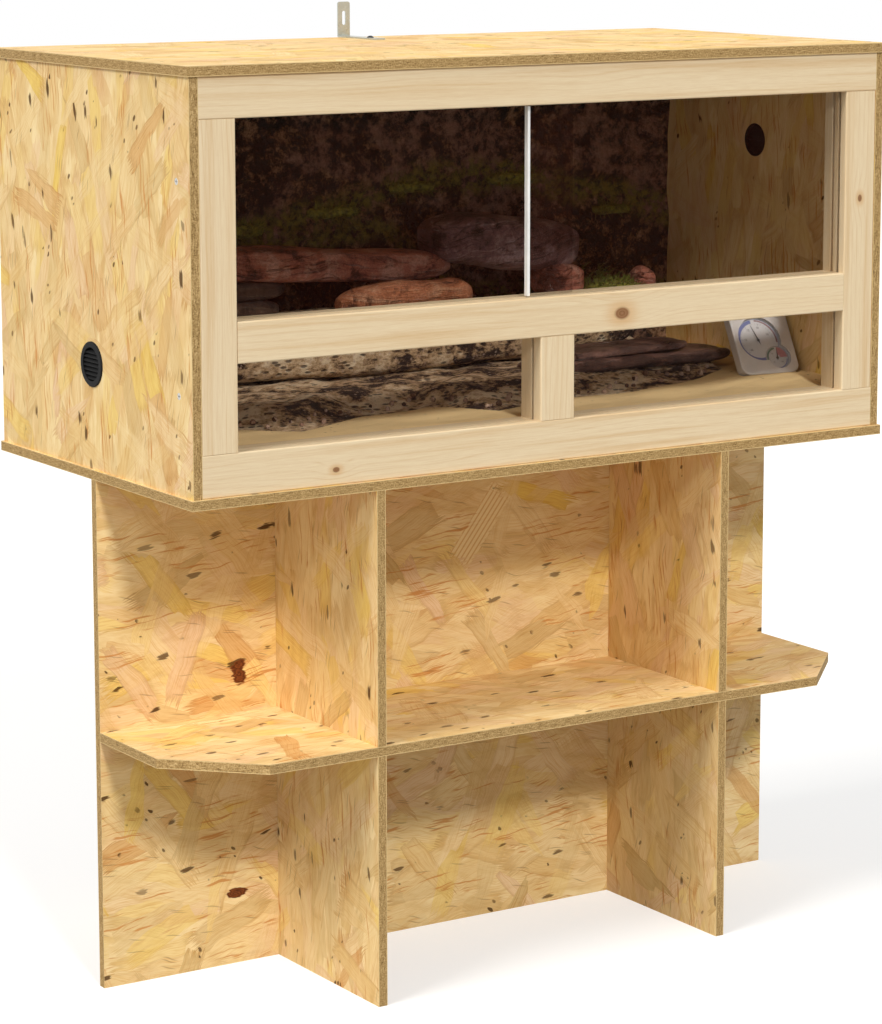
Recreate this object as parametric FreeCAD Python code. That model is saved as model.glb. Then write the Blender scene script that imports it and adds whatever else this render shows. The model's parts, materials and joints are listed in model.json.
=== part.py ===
import FreeCAD, Part
import math
import os
import random

# A wooden terrarium on a cross-lapped stand, in millimetres.
# X runs left to right, Y runs front to back and Z runs up.
# The origin is on the floor, under the middle of the case.

# Case
case_width = 1000.0
case_depth = 500.0
case_height = 500.0
board = 12.0
board_overhang = 3.0

# Stand
stand_height = 625.0
divider_pitch = 502.0
shelf_depth = 240.0
shelf_top_height = 318.5
shelf_corner_cut = 97.0
lap_gap = 0.15
lap_share = 0.5

# Front frame
frame_depth = 42.0
stile_width = 47.0
post_width = 49.0
top_rail_height = 48.0
middle_rail_height = 48.0
bottom_rail_height = 50.0
lower_window_height = 101.0
timber_round = 2.0

# Glass, its grooves and the trim on one pane
glass = 4.0
glass_chamfer = 0.5
groove_width = 5.0
front_groove_setback = 13.2
rear_groove_setback = 25.0
track_bite = 6.0
lift_room = 12.0
pane_top_bite = 8.0
stile_groove_depth = 8.0
pane_side_gap = 1.0
pane_foot_gap = 0.2
pane_overlap = 73.4
strip_lip = 2.4
strip_wall = 1.2
strip_end_gap = 1.5
fixed_groove_setback = 18.0
fixed_groove_width = 4.4
fixed_bite = 6.0
fixed_gap = 0.2

# Vents
vent_height = 138.0
vent_hole_d = 44.0
vent_flange_d = 54.0
vent_flange = 2.2
vent_gap = 0.2
vent_wall = 1.6
slat = 1.4
slat_depth = 8.0
slat_pitch = 5.2
slat_angle = 40.0
slat_count = 7
vent_ring = 3.5
mesh_gap = 0.1
mesh = 0.6
mesh_hole_d = 2.4
mesh_pitch = 4.0

# Countersunk screws
screw_d = 3.8
screw_head_d = 8.0
screw_head = 2.6
screw_length = 35.0
side_screw_length = 40.0
screw_sink = 0.2
screw_gap = 0.1
drive_width = 1.0
drive_span = 4.2
drive_depth = 1.4

# Cam fittings and dowels
cam_d = 15.0
cam_depth = 9.0
cam_drop = 24.0
cam_slot_width = 2.0
cam_slot_depth = 1.5
bolt_d = 5.0
bolt_bite = 8.5
bolt_tail = 4.0
fitting_gap = 0.15
panel_dowel_d = 6.0
panel_dowel_length = 20.0
panel_dowel_bite = 7.0
frame_dowel_d = 8.0
frame_dowel_length = 30.0
dowel_gap = 0.1
dowel_end_gap = 0.4

# Wall bracket
bracket_width = 18.0
bracket_sheet = 2.0
bracket_foot = 92.0
bracket_rise = 46.0
bracket_bend = 2.5
bracket_corner = 3.0
bracket_slot_width = 5.2
bracket_slot_length = 18.4
bracket_slot_height = 25.0
bracket_screw_setback = 24.0
dome_d = 9.5
dome_height = 2.6
bracket_screw_d = 4.0
bracket_screw_length = 11.0

# Sand and gravel, measured up from the bottom board
sand_level = 48.0
sand_ripple = 1.3
sand_ripple_length = 210.0
sand_side_rise = 6.6
sand_side_width = 190.0
sand_step = 26.0
gravel_rise = 20.0
gravel_slope_width = 75.0
gravel_lump = 3.2
gravel_lump_length = 95.0
fill_gap = 0.3

# Backdrop
backdrop_thickness = 41.0
backdrop_relief = 6.0
backdrop_wave = 170.0
backdrop_step = 34.0
backdrop_fade = 60.0
backdrop_foot_gap = 0.5

# Thermo-hygrometer
gauge_width = 85.6
gauge_height = 104.0
gauge_thickness = 15.0
gauge_corner = 13.0
gauge_edge_round = 2.0
gauge_front_depth = 10.0
gauge_wall = 2.0
gauge_ledge = 2.0
gauge_lean = 31.0
gauge_yaw = 7.8
gauge_wall_gap = 10.7
gauge_setback = 92.0
gauge_sink = 0.7
lens = 1.2
dial_depth = 6.4
dial_sheet = 1.0
gauge_fit_gap = 0.2
temperature_dial_r = 31.0
temperature_dial_x = -5.3
temperature_dial_z = 50.1
humidity_dial_r = 17.0
humidity_dial_x = 17.0
humidity_dial_z = 24.0

# Needles and their coils
needle_sheet = 0.4
needle_half_width = 1.0
hub_r = 1.9
spindle_r = 0.6
spindle_gap = 0.06
spindle_end_room = 0.4
temperature_needle_depth = 4.0
temperature_needle_length = 23.0
temperature_needle_tail = 7.0
temperature_needle_angle = 17.0
humidity_needle_depth = 5.2
humidity_needle_length = 12.0
humidity_needle_tail = 4.0
humidity_needle_angle = -8.0
coil_start_r = 1.6
coil_pitch = 1.6
coil_strip = 0.4
coil_height = 2.0
temperature_coil_turns = 4
humidity_coil_turns = 3

# Fold-out leg
leg_width = 30.0
leg_sheet = 3.2
leg_length = 50.0
leg_hinge_height = 62.0
leg_open_angle = 50.0
leg_pin_r = 0.8
leg_pin_bite = 4.0
leg_gap = 0.3
leg_pin_gap = 0.05
leg_seat_gap = 0.3
pit_side = 0.6
leg_pit_side = 2.0
pit_front = 12.0
pit_head = 90.0
pit_slope = 35.0
pad_lead = 1.2
pad_tail = 14.0

# Stones: length along X, depth along Y and height
ledge_length = 850.0
ledge_depth = 128.0
ledge_height = 82.0
ledge_base = 78.0
left_low_length = 292.0
left_low_depth = 92.0
left_low_height = 32.0
left_high_length = 300.0
left_high_depth = 84.0
left_high_height = 26.0
red_slab_length = 500.0
red_slab_depth = 88.0
red_slab_height = 44.0
round_slab_length = 196.0
round_slab_depth = 52.0
round_slab_height = 44.0
grey_slab_length = 226.0
grey_slab_depth = 108.0
grey_slab_height = 68.0
small_red_length = 62.0
small_red_depth = 66.0
small_red_height = 46.0
stump_length = 30.0
stump_depth = 38.0
stump_height = 44.0
flat_low_length = 318.0
flat_low_depth = 104.0
flat_low_height = 17.0
flat_high_length = 230.0
flat_high_depth = 78.0
flat_high_height = 13.0
stone_gap = 0.3

# Crumbs and moss
crumb_size = 7.5
crumb_gap = 0.2
crumb_count = 64
crumb_sides = 5
settle_rounds = 3
moss_length = 78.0
moss_depth = 26.0
moss_height = 16.0

# Cutters run past a face by this much, and places closer than this count as one
overrun = 5.0
same_place = 0.01

# Shares, each of the size that it follows
side_screw_height_shares = (0.254, 0.74)
base_screw_shares = (-0.8, 0.0, 0.8)
cam_spread_share = 0.6
back_cam_share = 0.62
side_dowel_shares = (-0.3, 0.3)
back_dowel_shares = (-0.92, 0.0, 0.92)
corner_dowel_shares = (0.2, 0.5, 0.8)
rail_dowel_shares = (-0.62, 0.62)
stand_screw_shares = (-0.66, 0.66)
shelf_screw_shares = (-0.82, 0.0, 0.82)
side_screw_depth_share = 0.75

# Front line of the gravel: places across as shares of the half width inside,
# and distances behind the frame as shares of the depth inside
gravel_line_x_shares = (-1.0, -0.73, -0.61, -0.37, -0.15, -0.03, 0.12, 0.27, 0.44, 0.57, 0.71, 0.82)
gravel_line_y_shares = (0.22, 0.25, 0.15, 0.29, 0.33, 0.16, 0.24, 0.25, 0.25, 0.29, 0.33, 0.39)

# Outline of a stone across its length, and how full it is along its length
stone_section_shares = (0.0, 0.06, 0.25, 0.5, 0.76, 0.94, 1.0)
stone_fullness_shares = (0.34, 0.72, 0.96, 1.0, 0.93, 0.74, 0.3)
stone_square_share = 0.62
stone_wobble_share = 0.07
stone_points = 10
crumb_middle_share = 0.3
crumb_top_share = 0.62
crumb_wobble_share = 0.3

# Places of the stones: middle across as a share of the half width inside, front
# as a share of the depth inside, and turn in the wall's plane in degrees
ledge_x_share = -0.10
ledge_y_share = 0.66
left_low_x_share = -0.66
left_low_y_share = 0.735
left_high_x_share = -0.645
left_high_y_share = 0.75
red_slab_x_share = -0.343
red_slab_y_share = 0.74
round_slab_x_share = -0.044
round_slab_y_share = 0.615
grey_slab_x_share = 0.335
grey_slab_y_share = 0.70
small_red_x_share = 0.497
small_red_y_share = 0.70
stump_x_share = 0.762
stump_y_share = 0.70
flat_low_x_share = 0.58
flat_low_y_share = 0.40
flat_high_x_share = 0.54
flat_high_y_share = 0.45
red_slab_turn = 3.0
grey_slab_turn = 6.0
round_slab_turn = -1.5
flat_high_turn = -1.2

# Moss: places across as shares of the half width inside, heights as shares of the
# height inside, and a size share for each
moss_x_shares = (-0.42, -0.11, 0.145, 0.47, 0.80)
moss_z_shares = (0.525, 0.56, 0.615, 0.625, 0.52)
moss_size_shares = (1.2, 1.0, 0.9, 1.1, 0.8)
fern_x_share = 0.655
fern_y_share = 0.67
fern_size_share = 0.95

# Derived places
half_width = case_width / 2
half_depth = case_depth / 2
side_outer = half_width - board_overhang
side_inner = side_outer - board
front_face = -half_depth + board_overhang
rear_face = half_depth - board_overhang
back_inner = rear_face - board
case_bottom = stand_height
floor_top = case_bottom + board
case_top = case_bottom + case_height
roof_bottom = case_top - board
inner_height = roof_bottom - floor_top
frame_rear = front_face + frame_depth
opening_half = side_inner - stile_width
bottom_rail_top = floor_top + bottom_rail_height
middle_rail_bottom = bottom_rail_top + lower_window_height
middle_rail_top = middle_rail_bottom + middle_rail_height
top_rail_bottom = roof_bottom - top_rail_height
divider_x = divider_pitch / 2
shelf_front = -half_depth
panel_front = shelf_front + shelf_depth
panel_rear = panel_front + board
shelf_bottom = shelf_top_height - board
shelf_middle = (shelf_front + panel_front) / 2
lap_height = stand_height * lap_share
backdrop_front = back_inner - backdrop_thickness
inner_depth = backdrop_front - frame_rear
sand_top = floor_top + sand_level

X_AXIS = FreeCAD.Vector(1, 0, 0)
Y_AXIS = FreeCAD.Vector(0, 1, 0)
Z_AXIS = FreeCAD.Vector(0, 0, 1)
ORIGIN = FreeCAD.Vector(0, 0, 0)


def block(x0, x1, y0, y1, z0, z1):
    """A box between two corners."""
    return Part.makeBox(x1 - x0, y1 - y0, z1 - z0, FreeCAD.Vector(x0, y0, z0))


def rod(radius, start, direction, length):
    """A cylinder from a point along a direction."""
    return Part.makeCylinder(radius, length, start, direction)


def moved(shape, x, y, z):
    """A copy of a shape, shifted."""
    copy = shape.copy()
    copy.translate(FreeCAD.Vector(x, y, z))
    return copy


def cut_all(shape, cutters):
    """A shape less every cutter."""
    if not cutters:
        return shape
    return shape.cut(cutters)


def save(name, shape):
    """Write one node's solids."""
    os.makedirs("parts", exist_ok=True)
    shape.exportStep("parts/" + name + ".step")


def smooth_step(value):
    """0 below 0, 1 above 1 and a smooth rise between."""
    held = max(0.0, min(1.0, value))
    return held * held * (3.0 - 2.0 * held)


def long_edges(shape, span, test):
    """Edges at least as long as the span that also pass a test."""
    return [edge for edge in shape.Edges if edge.Length > span and test(edge)]


# Screws, cam fittings and dowels

def screw(start, direction, length):
    """A countersunk screw whose head lies just under the face at start."""
    head_top = start + direction * screw_sink
    head = Part.makeCone(screw_head_d / 2, screw_d / 2, screw_head, head_top, direction)
    shank_end = length - screw_d
    shank = rod(screw_d / 2, head_top, direction, shank_end)
    tip = Part.makeCone(screw_d / 2, 0, screw_d, head_top + direction * shank_end, direction)
    body = head.fuse([shank, tip]).removeSplitter()
    slot = block(-drive_span / 2, drive_span / 2, -drive_width / 2, drive_width / 2, 0, drive_depth)
    turned = slot.copy()
    turned.rotate(ORIGIN, Z_AXIS, 90)
    cross = slot.fuse(turned)
    cross.Placement = FreeCAD.Placement(head_top, FreeCAD.Rotation(Z_AXIS, direction))
    return body.cut(cross)


def screw_hole(start, direction, length):
    """The countersunk hole that a screw needs through its boards."""
    head_r = screw_head_d / 2 + screw_gap
    shank_r = screw_d / 2 + screw_gap
    mouth = rod(head_r, start - direction * overrun, direction, overrun + screw_sink)
    cone = Part.makeCone(head_r, shank_r, screw_head, start + direction * screw_sink, direction)
    shank = rod(shank_r, start, direction, length + screw_sink + screw_gap)
    return mouth.fuse([cone, shank])


def base_screw_places():
    """Starts of the screws that come up through the bottom board."""
    places = []
    for share in base_screw_shares:
        side_y = rear_face * share
        places.append(FreeCAD.Vector(-side_inner - board / 2, side_y, case_bottom))
        places.append(FreeCAD.Vector(side_inner + board / 2, side_y, case_bottom))
        places.append(FreeCAD.Vector(side_inner * share, rear_face - board / 2, case_bottom))
        places.append(FreeCAD.Vector(side_inner * share, frame_middle_y(), case_bottom))
    return places


def frame_middle_y():
    """Middle of the front frame's depth."""
    return front_face + frame_depth / 2


def side_screw_places():
    """Starts and directions of the screws through the side boards into the stiles."""
    places = []
    y = front_face + frame_depth * side_screw_depth_share
    for share in side_screw_height_shares:
        z = case_bottom + case_height * share
        places.append((FreeCAD.Vector(-side_outer, y, z), X_AXIS))
        places.append((FreeCAD.Vector(side_outer, y, z), -X_AXIS))
    return places


def stand_screw_places():
    """Starts of the screws that hold the case down on the stand, under the sand."""
    places = []
    for share in stand_screw_shares:
        for x in (-divider_x, divider_x):
            places.append(FreeCAD.Vector(x, half_depth * share, floor_top))
        places.append(FreeCAD.Vector(half_width * share, panel_front + board / 2, floor_top))
    return places


def shelf_screw_places():
    """Starts of the screws through the centre panel into the shelf."""
    z = shelf_bottom + board / 2
    return [FreeCAD.Vector(half_width * share, panel_rear, z) for share in shelf_screw_shares]


def screws_along(places, direction, length):
    """One screw at each place."""
    return [screw(place, direction, length) for place in places]


def board_screws():
    """The like screws through the bottom board, into the stand and into the shelf."""
    screws = screws_along(base_screw_places(), Z_AXIS, screw_length)
    screws += screws_along(stand_screw_places(), -Z_AXIS, screw_length)
    screws += screws_along(shelf_screw_places(), -Y_AXIS, screw_length)
    return Part.makeCompound(screws)


def holes_along(places, direction, length):
    """One screw hole at each place."""
    return [screw_hole(place, direction, length) for place in places]


def cam_places():
    """Face centre and inward direction of each cam disc."""
    places = []
    z = roof_bottom - cam_drop
    for share in (-cam_spread_share, cam_spread_share):
        places.append((FreeCAD.Vector(-side_inner, half_depth * share, z), -X_AXIS))
        places.append((FreeCAD.Vector(side_inner, half_depth * share, z), X_AXIS))
    for share in (-back_cam_share, back_cam_share):
        places.append((FreeCAD.Vector(half_width * share, rear_face, z), -Y_AXIS))
    return places


def bolt_axis(face_centre, inward):
    """A point on the middle of the board, over the cam's middle."""
    return face_centre + inward * (board / 2)


def cam_bolt(face_centre, inward, gap):
    """The bolt from the top board down into a cam, or its hole when a gap is given."""
    foot = bolt_axis(face_centre, inward) - Z_AXIS * (bolt_tail + gap)
    length = cam_drop + bolt_tail + bolt_bite + 2 * gap
    return rod(bolt_d / 2 + gap, foot, Z_AXIS, length)


def cam_disc(face_centre, inward):
    """A cam disc with its screwdriver slot and the channel for its bolt."""
    disc = rod(cam_d / 2, face_centre, inward, cam_depth)
    slot = block(-cam_slot_width / 2, cam_slot_width / 2, -cam_d / 2, cam_d / 2, -overrun, cam_slot_depth)
    slot.Placement = FreeCAD.Placement(face_centre, FreeCAD.Rotation(Z_AXIS, inward))
    return disc.cut([slot, cam_bolt(face_centre, inward, fitting_gap)])


def cam_holes():
    """Room for every cam disc and bolt."""
    holes = []
    for face_centre, inward in cam_places():
        start = face_centre - inward * overrun
        depth = overrun + cam_depth + fitting_gap
        holes.append(rod(cam_d / 2 + fitting_gap, start, inward, depth))
        holes.append(cam_bolt(face_centre, inward, fitting_gap))
    return holes


def panel_dowel_places():
    """Joint-plane points and directions, each pointing away from the board that the dowel enters less."""
    places = []
    side_x = side_inner + board / 2
    back_y = rear_face - board / 2
    for share in side_dowel_shares:
        places.append((FreeCAD.Vector(-side_x, half_depth * share, roof_bottom), -Z_AXIS))
        places.append((FreeCAD.Vector(side_x, half_depth * share, roof_bottom), -Z_AXIS))
    for share in back_dowel_shares:
        places.append((FreeCAD.Vector(side_inner * share, back_y, roof_bottom), -Z_AXIS))
    for share in rail_dowel_shares:
        places.append((FreeCAD.Vector(side_inner * share, frame_middle_y(), roof_bottom), -Z_AXIS))
    for share in corner_dowel_shares:
        z = floor_top + inner_height * share
        places.append((FreeCAD.Vector(-side_inner, back_y, z), X_AXIS))
        places.append((FreeCAD.Vector(side_inner, back_y, z), -X_AXIS))
    return places


def panel_dowel(joint, direction, gap, end_gap):
    """One dowel across a joint, or its hole when gaps are given."""
    start = joint - direction * (panel_dowel_bite + end_gap)
    return rod(panel_dowel_d / 2 + gap, start, direction, panel_dowel_length + 2 * end_gap)


def panel_dowel_holes():
    """A hole for every panel dowel."""
    return [panel_dowel(joint, way, dowel_gap, dowel_end_gap) for joint, way in panel_dowel_places()]


def frame_dowel_places():
    """Middles and directions of the dowels between the frame's timbers."""
    y = frame_middle_y()
    stile_x = side_inner - stile_width / 2
    middle_z = (middle_rail_bottom + middle_rail_top) / 2
    places = []
    for x in (-stile_x, stile_x):
        places.append((FreeCAD.Vector(x, y, bottom_rail_top), Z_AXIS))
        places.append((FreeCAD.Vector(x, y, top_rail_bottom), Z_AXIS))
    places.append((FreeCAD.Vector(0, y, bottom_rail_top), Z_AXIS))
    places.append((FreeCAD.Vector(0, y, middle_rail_bottom), Z_AXIS))
    places.append((FreeCAD.Vector(-opening_half, y, middle_z), X_AXIS))
    places.append((FreeCAD.Vector(opening_half, y, middle_z), X_AXIS))
    return places


def frame_dowel(middle, direction, gap, end_gap):
    """One frame dowel, or its hole when gaps are given."""
    length = frame_dowel_length + 2 * end_gap
    return rod(frame_dowel_d / 2 + gap, middle - direction * (length / 2), direction, length)


def frame_dowel_holes():
    """A hole for every frame dowel."""
    return [frame_dowel(middle, way, dowel_gap, dowel_end_gap) for middle, way in frame_dowel_places()]


# Stand

def lap_slot(middle):
    """Low and high side of a lap slot for one board."""
    half = board / 2 + lap_gap
    return middle - half, middle + half


def stand_centre_panel():
    """The full-width upright, slotted from its top edge for the dividers."""
    panel = block(-half_width, half_width, panel_front, panel_rear, 0, stand_height)
    cutters = []
    for x in (-divider_x, divider_x):
        low, high = lap_slot(x)
        top = stand_height + overrun
        cutters.append(block(low, high, panel_front - overrun, panel_rear + overrun, lap_height, top))
    cutters += holes_along(shelf_screw_places(), -Y_AXIS, screw_length)
    cutters += holes_along(stand_screw_places(), -Z_AXIS, screw_length)
    return cut_all(panel, cutters)


def stand_divider(x):
    """An upright from front to back, slotted for the centre panel and for the shelf."""
    panel = block(x - board / 2, x + board / 2, -half_depth, half_depth, 0, stand_height)
    left = x - board / 2 - overrun
    right = x + board / 2 + overrun
    low, high = lap_slot((panel_front + panel_rear) / 2)
    shelf_low, shelf_high = lap_slot(shelf_bottom + board / 2)
    cutters = [block(left, right, low, high, -overrun, lap_height)]
    cutters.append(block(left, right, -half_depth - overrun, shelf_middle, shelf_low, shelf_high))
    cutters += holes_along(stand_screw_places(), -Z_AXIS, screw_length)
    return cut_all(panel, cutters)


def stand_shelf():
    """The shelf with its two front corners cut off and slots for the dividers."""
    corner = [
        (-half_width, panel_front),
        (-half_width, shelf_front + shelf_corner_cut),
        (-half_width + shelf_corner_cut, shelf_front),
        (half_width - shelf_corner_cut, shelf_front),
        (half_width, shelf_front + shelf_corner_cut),
        (half_width, panel_front),
    ]
    points = [FreeCAD.Vector(x, y, shelf_bottom) for x, y in corner]
    outline = Part.makePolygon(points + [points[0]])
    shelf = Part.Face(outline).extrude(Z_AXIS * board)
    cutters = []
    for x in (-divider_x, divider_x):
        low, high = lap_slot(x)
        bottom = shelf_bottom - overrun
        top = shelf_top_height + overrun
        cutters.append(block(low, high, shelf_middle, panel_front + overrun, bottom, top))
    cutters += holes_along(shelf_screw_places(), -Y_AXIS, screw_length)
    return cut_all(shelf, cutters)


# Case boards

def bottom_panel():
    """The bottom board, drilled for the screws from below and into the stand."""
    panel = block(-half_width, half_width, -half_depth, half_depth, case_bottom, floor_top)
    cutters = holes_along(base_screw_places(), Z_AXIS, screw_length)
    cutters += holes_along(stand_screw_places(), -Z_AXIS, screw_length)
    return cut_all(panel, cutters)


def top_panel():
    """The top board, with blind holes in its underside and one for the bracket's screw."""
    panel = block(-half_width, half_width, -half_depth, half_depth, roof_bottom, case_top)
    screw_start = bracket_screw_place() + Z_AXIS * overrun
    depth = overrun + bracket_screw_length + screw_gap
    cutters = [rod(bracket_screw_d / 2 + screw_gap, screw_start, -Z_AXIS, depth)]
    return cut_all(panel, cutters + panel_dowel_holes() + cam_holes())


def side_panel(side):
    """A side board with its vent hole, which sits low on the left and high on the right."""
    low = min(side * side_inner, side * side_outer)
    high = max(side * side_inner, side * side_outer)
    panel = block(low, high, front_face, rear_face, floor_top, roof_bottom)
    hole_start = FreeCAD.Vector(low - overrun, 0, vent_z(side))
    cutters = [rod(vent_hole_d / 2, hole_start, X_AXIS, board + 2 * overrun)]
    cutters += holes_along(base_screw_places(), Z_AXIS, screw_length)
    cutters += [screw_hole(start, way, side_screw_length) for start, way in side_screw_places()]
    return cut_all(panel, cutters + cam_holes() + panel_dowel_holes())


def back_panel():
    """The back board, between the side boards."""
    panel = block(-side_inner, side_inner, back_inner, rear_face, floor_top, roof_bottom)
    cutters = holes_along(base_screw_places(), Z_AXIS, screw_length)
    return cut_all(panel, cutters + cam_holes() + panel_dowel_holes())


# Front frame

def track_room(setback):
    """The space of one sliding groove, all round the upper window."""
    y = front_face + setback - groove_width / 2
    z0 = middle_rail_top - track_bite
    z1 = top_rail_bottom + lift_room
    x = opening_half + stile_groove_depth
    return block(-x, x, y, y + groove_width, z0, z1)


def fixed_room(side):
    """The groove space round one fixed lower pane."""
    low, high = fixed_span(side)
    y = front_face + fixed_groove_setback - fixed_groove_width / 2
    z0 = bottom_rail_top - fixed_bite
    z1 = middle_rail_bottom + fixed_bite
    return block(low - fixed_bite, high + fixed_bite, y, y + fixed_groove_width, z0, z1)


def fixed_span(side):
    """Left and right edge of one lower window."""
    return sorted([side * post_width / 2, side * opening_half])


def frame_cutters():
    """Everything that is milled or drilled out of the frame's timbers."""
    cutters = [track_room(front_groove_setback), track_room(rear_groove_setback)]
    cutters += [fixed_room(-1), fixed_room(1)]
    cutters += holes_along(base_screw_places(), Z_AXIS, screw_length)
    cutters += [screw_hole(start, way, side_screw_length) for start, way in side_screw_places()]
    return cutters + frame_dowel_holes() + panel_dowel_holes()


def timber(x0, x1, z0, z1, rounded):
    """One timber of the frame, with the named front edges eased."""
    piece = block(x0, x1, front_face, frame_rear, z0, z1)

    def is_eased(edge):
        middle = edge.CenterOfMass
        on_front = abs(middle.y - front_face) < same_place
        places = {"left": middle.x - x0, "right": middle.x - x1, "low": middle.z - z0, "high": middle.z - z1}
        return on_front and any(abs(places[side]) < same_place for side in rounded)

    eased = piece.makeFillet(timber_round, long_edges(piece, same_place, is_eased))
    return cut_all(eased, frame_cutters())


def frame_top_rail():
    """The rail under the top board, right across between the side boards."""
    return timber(-side_inner, side_inner, top_rail_bottom, roof_bottom, ["low", "high"])


def frame_middle_rail():
    """The rail between the windows, between the stiles."""
    return timber(-opening_half, opening_half, middle_rail_bottom, middle_rail_top, ["low", "high"])


def frame_bottom_rail():
    """The rail on the bottom board, right across between the side boards."""
    return timber(-side_inner, side_inner, floor_top, bottom_rail_top, ["low", "high"])


def frame_stile(side):
    """An upright between the top and bottom rails."""
    low = min(side * side_inner, side * opening_half)
    high = max(side * side_inner, side * opening_half)
    return timber(low, high, bottom_rail_top, top_rail_bottom, ["left", "right"])


def frame_centre_post():
    """The short upright between the two lower panes."""
    half = post_width / 2
    return timber(-half, half, bottom_rail_top, middle_rail_bottom, ["left", "right"])


# Glass

def pane(x0, x1, y, z0, z1):
    """A sheet of glass with ground edges."""
    sheet = block(x0, x1, y, y + glass, z0, z1)
    return sheet.makeChamfer(glass_chamfer, sheet.Edges)


def sliding_pane(side):
    """A sliding pane: the left one runs in the rear groove and the right one in the front groove."""
    setback = front_groove_setback if side > 0 else rear_groove_setback
    y = front_face + setback - glass / 2
    outer = opening_half + stile_groove_depth - pane_side_gap
    low = min(side * outer, -side * pane_overlap / 2)
    high = max(side * outer, -side * pane_overlap / 2)
    z0 = middle_rail_top - track_bite + pane_foot_gap
    return pane(low, high, y, z0, top_rail_bottom + pane_top_bite)


def pane_edge_strip():
    """A white channel pushed onto the inner edge of the right pane, above its groove."""
    y = front_face + front_groove_setback - glass / 2
    x = -pane_overlap / 2
    z0 = middle_rail_top + strip_end_gap
    z1 = top_rail_bottom - strip_end_gap
    outer = block(x - strip_wall, x + strip_lip, y - strip_wall, y + glass + strip_wall, z0, z1)
    inner = block(x, x + strip_lip + overrun, y, y + glass, z0 - overrun, z1 + overrun)
    return outer.cut(inner)


def fixed_pane(side):
    """A fixed lower pane in its grooves."""
    low, high = fixed_span(side)
    bite = fixed_bite - fixed_gap
    y = front_face + fixed_groove_setback - glass / 2
    return pane(low - bite, high + bite, y, bottom_rail_top - bite, middle_rail_bottom + bite)


# Vents, made for the right side and mirrored for the left

def vent_z(side):
    """Height of a vent's middle."""
    if side < 0:
        return case_bottom + vent_height
    return case_top - vent_height


def sided(shape, side):
    """A right-hand shape, or its mirror image on the left at the left vent's height."""
    if side > 0:
        return shape
    mirrored = shape.mirror(ORIGIN, X_AXIS)
    return moved(mirrored, 0, 0, vent_z(-1) - vent_z(1))


def vent_point(x):
    """A point on the right vent's axis."""
    return FreeCAD.Vector(x, 0, vent_z(1))


def vent_cap(side):
    """The outer flange and collar with slanted slats across the bore."""
    collar_r = vent_hole_d / 2 - vent_gap
    bore_r = collar_r - vent_wall
    flange = rod(vent_flange_d / 2, vent_point(side_outer), X_AXIS, vent_flange)

    def is_rim(edge):
        outer = abs(edge.CenterOfMass.x - side_outer - vent_flange) < same_place
        return outer and edge.Length > math.pi * vent_hole_d

    flange = flange.makeFillet(vent_flange / 2, [edge for edge in flange.Edges if is_rim(edge)])
    collar = rod(collar_r, vent_point(side_inner), X_AXIS, board)
    bore = rod(bore_r, vent_point(side_inner - overrun), X_AXIS, board + vent_flange + 2 * overrun)
    tube = flange.fuse(collar).cut(bore)
    middle_x = side_outer + vent_flange - slat_depth / 2
    slats = []
    for number in range(slat_count):
        z = vent_z(1) + (number - (slat_count - 1) / 2) * slat_pitch
        half = slat_depth / 2
        blade = block(-half, half, -vent_flange_d / 2, vent_flange_d / 2, -slat / 2, slat / 2)
        blade.rotate(ORIGIN, Y_AXIS, slat_angle)
        blade.translate(FreeCAD.Vector(middle_x, 0, z))
        core = rod(bore_r + vent_wall / 2, vent_point(side_inner), X_AXIS, board + vent_flange)
        slats.append(blade.common(core))
    return sided(tube.fuse(slats).removeSplitter(), side)


def vent_inner_radius():
    """Radius of the parts that push into the collar."""
    return vent_hole_d / 2 - vent_gap - vent_wall - mesh_gap


def vent_mesh_ring(side):
    """The ring that holds the mesh in the collar, flush with the board's inner face."""
    radius = vent_inner_radius()
    ring = rod(radius, vent_point(side_inner), X_AXIS, vent_ring)
    bore = rod(radius - vent_wall, vent_point(side_inner - overrun), X_AXIS, vent_ring + 2 * overrun)
    return sided(ring.cut(bore), side)


def vent_mesh(side):
    """A thin disc with a grid of holes, behind the ring."""
    radius = vent_inner_radius()
    x = side_inner + vent_ring
    disc = rod(radius, vent_point(x), X_AXIS, mesh)
    reach = int(radius / mesh_pitch)
    holes = []
    for row in range(-reach, reach + 1):
        for column in range(-reach, reach + 1):
            y = column * mesh_pitch
            z = row * mesh_pitch
            if math.hypot(y, z) + mesh_hole_d < radius - vent_wall:
                start = FreeCAD.Vector(x - overrun, y, vent_z(1) + z)
                holes.append(rod(mesh_hole_d / 2, start, X_AXIS, mesh + 2 * overrun))
    return sided(disc.cut(holes), side)


# Wall bracket

def bracket_screw_place():
    """Where the bracket's screw enters the top board."""
    y = half_depth - bracket_foot + bracket_screw_setback
    return FreeCAD.Vector(0, y, case_top)


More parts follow.
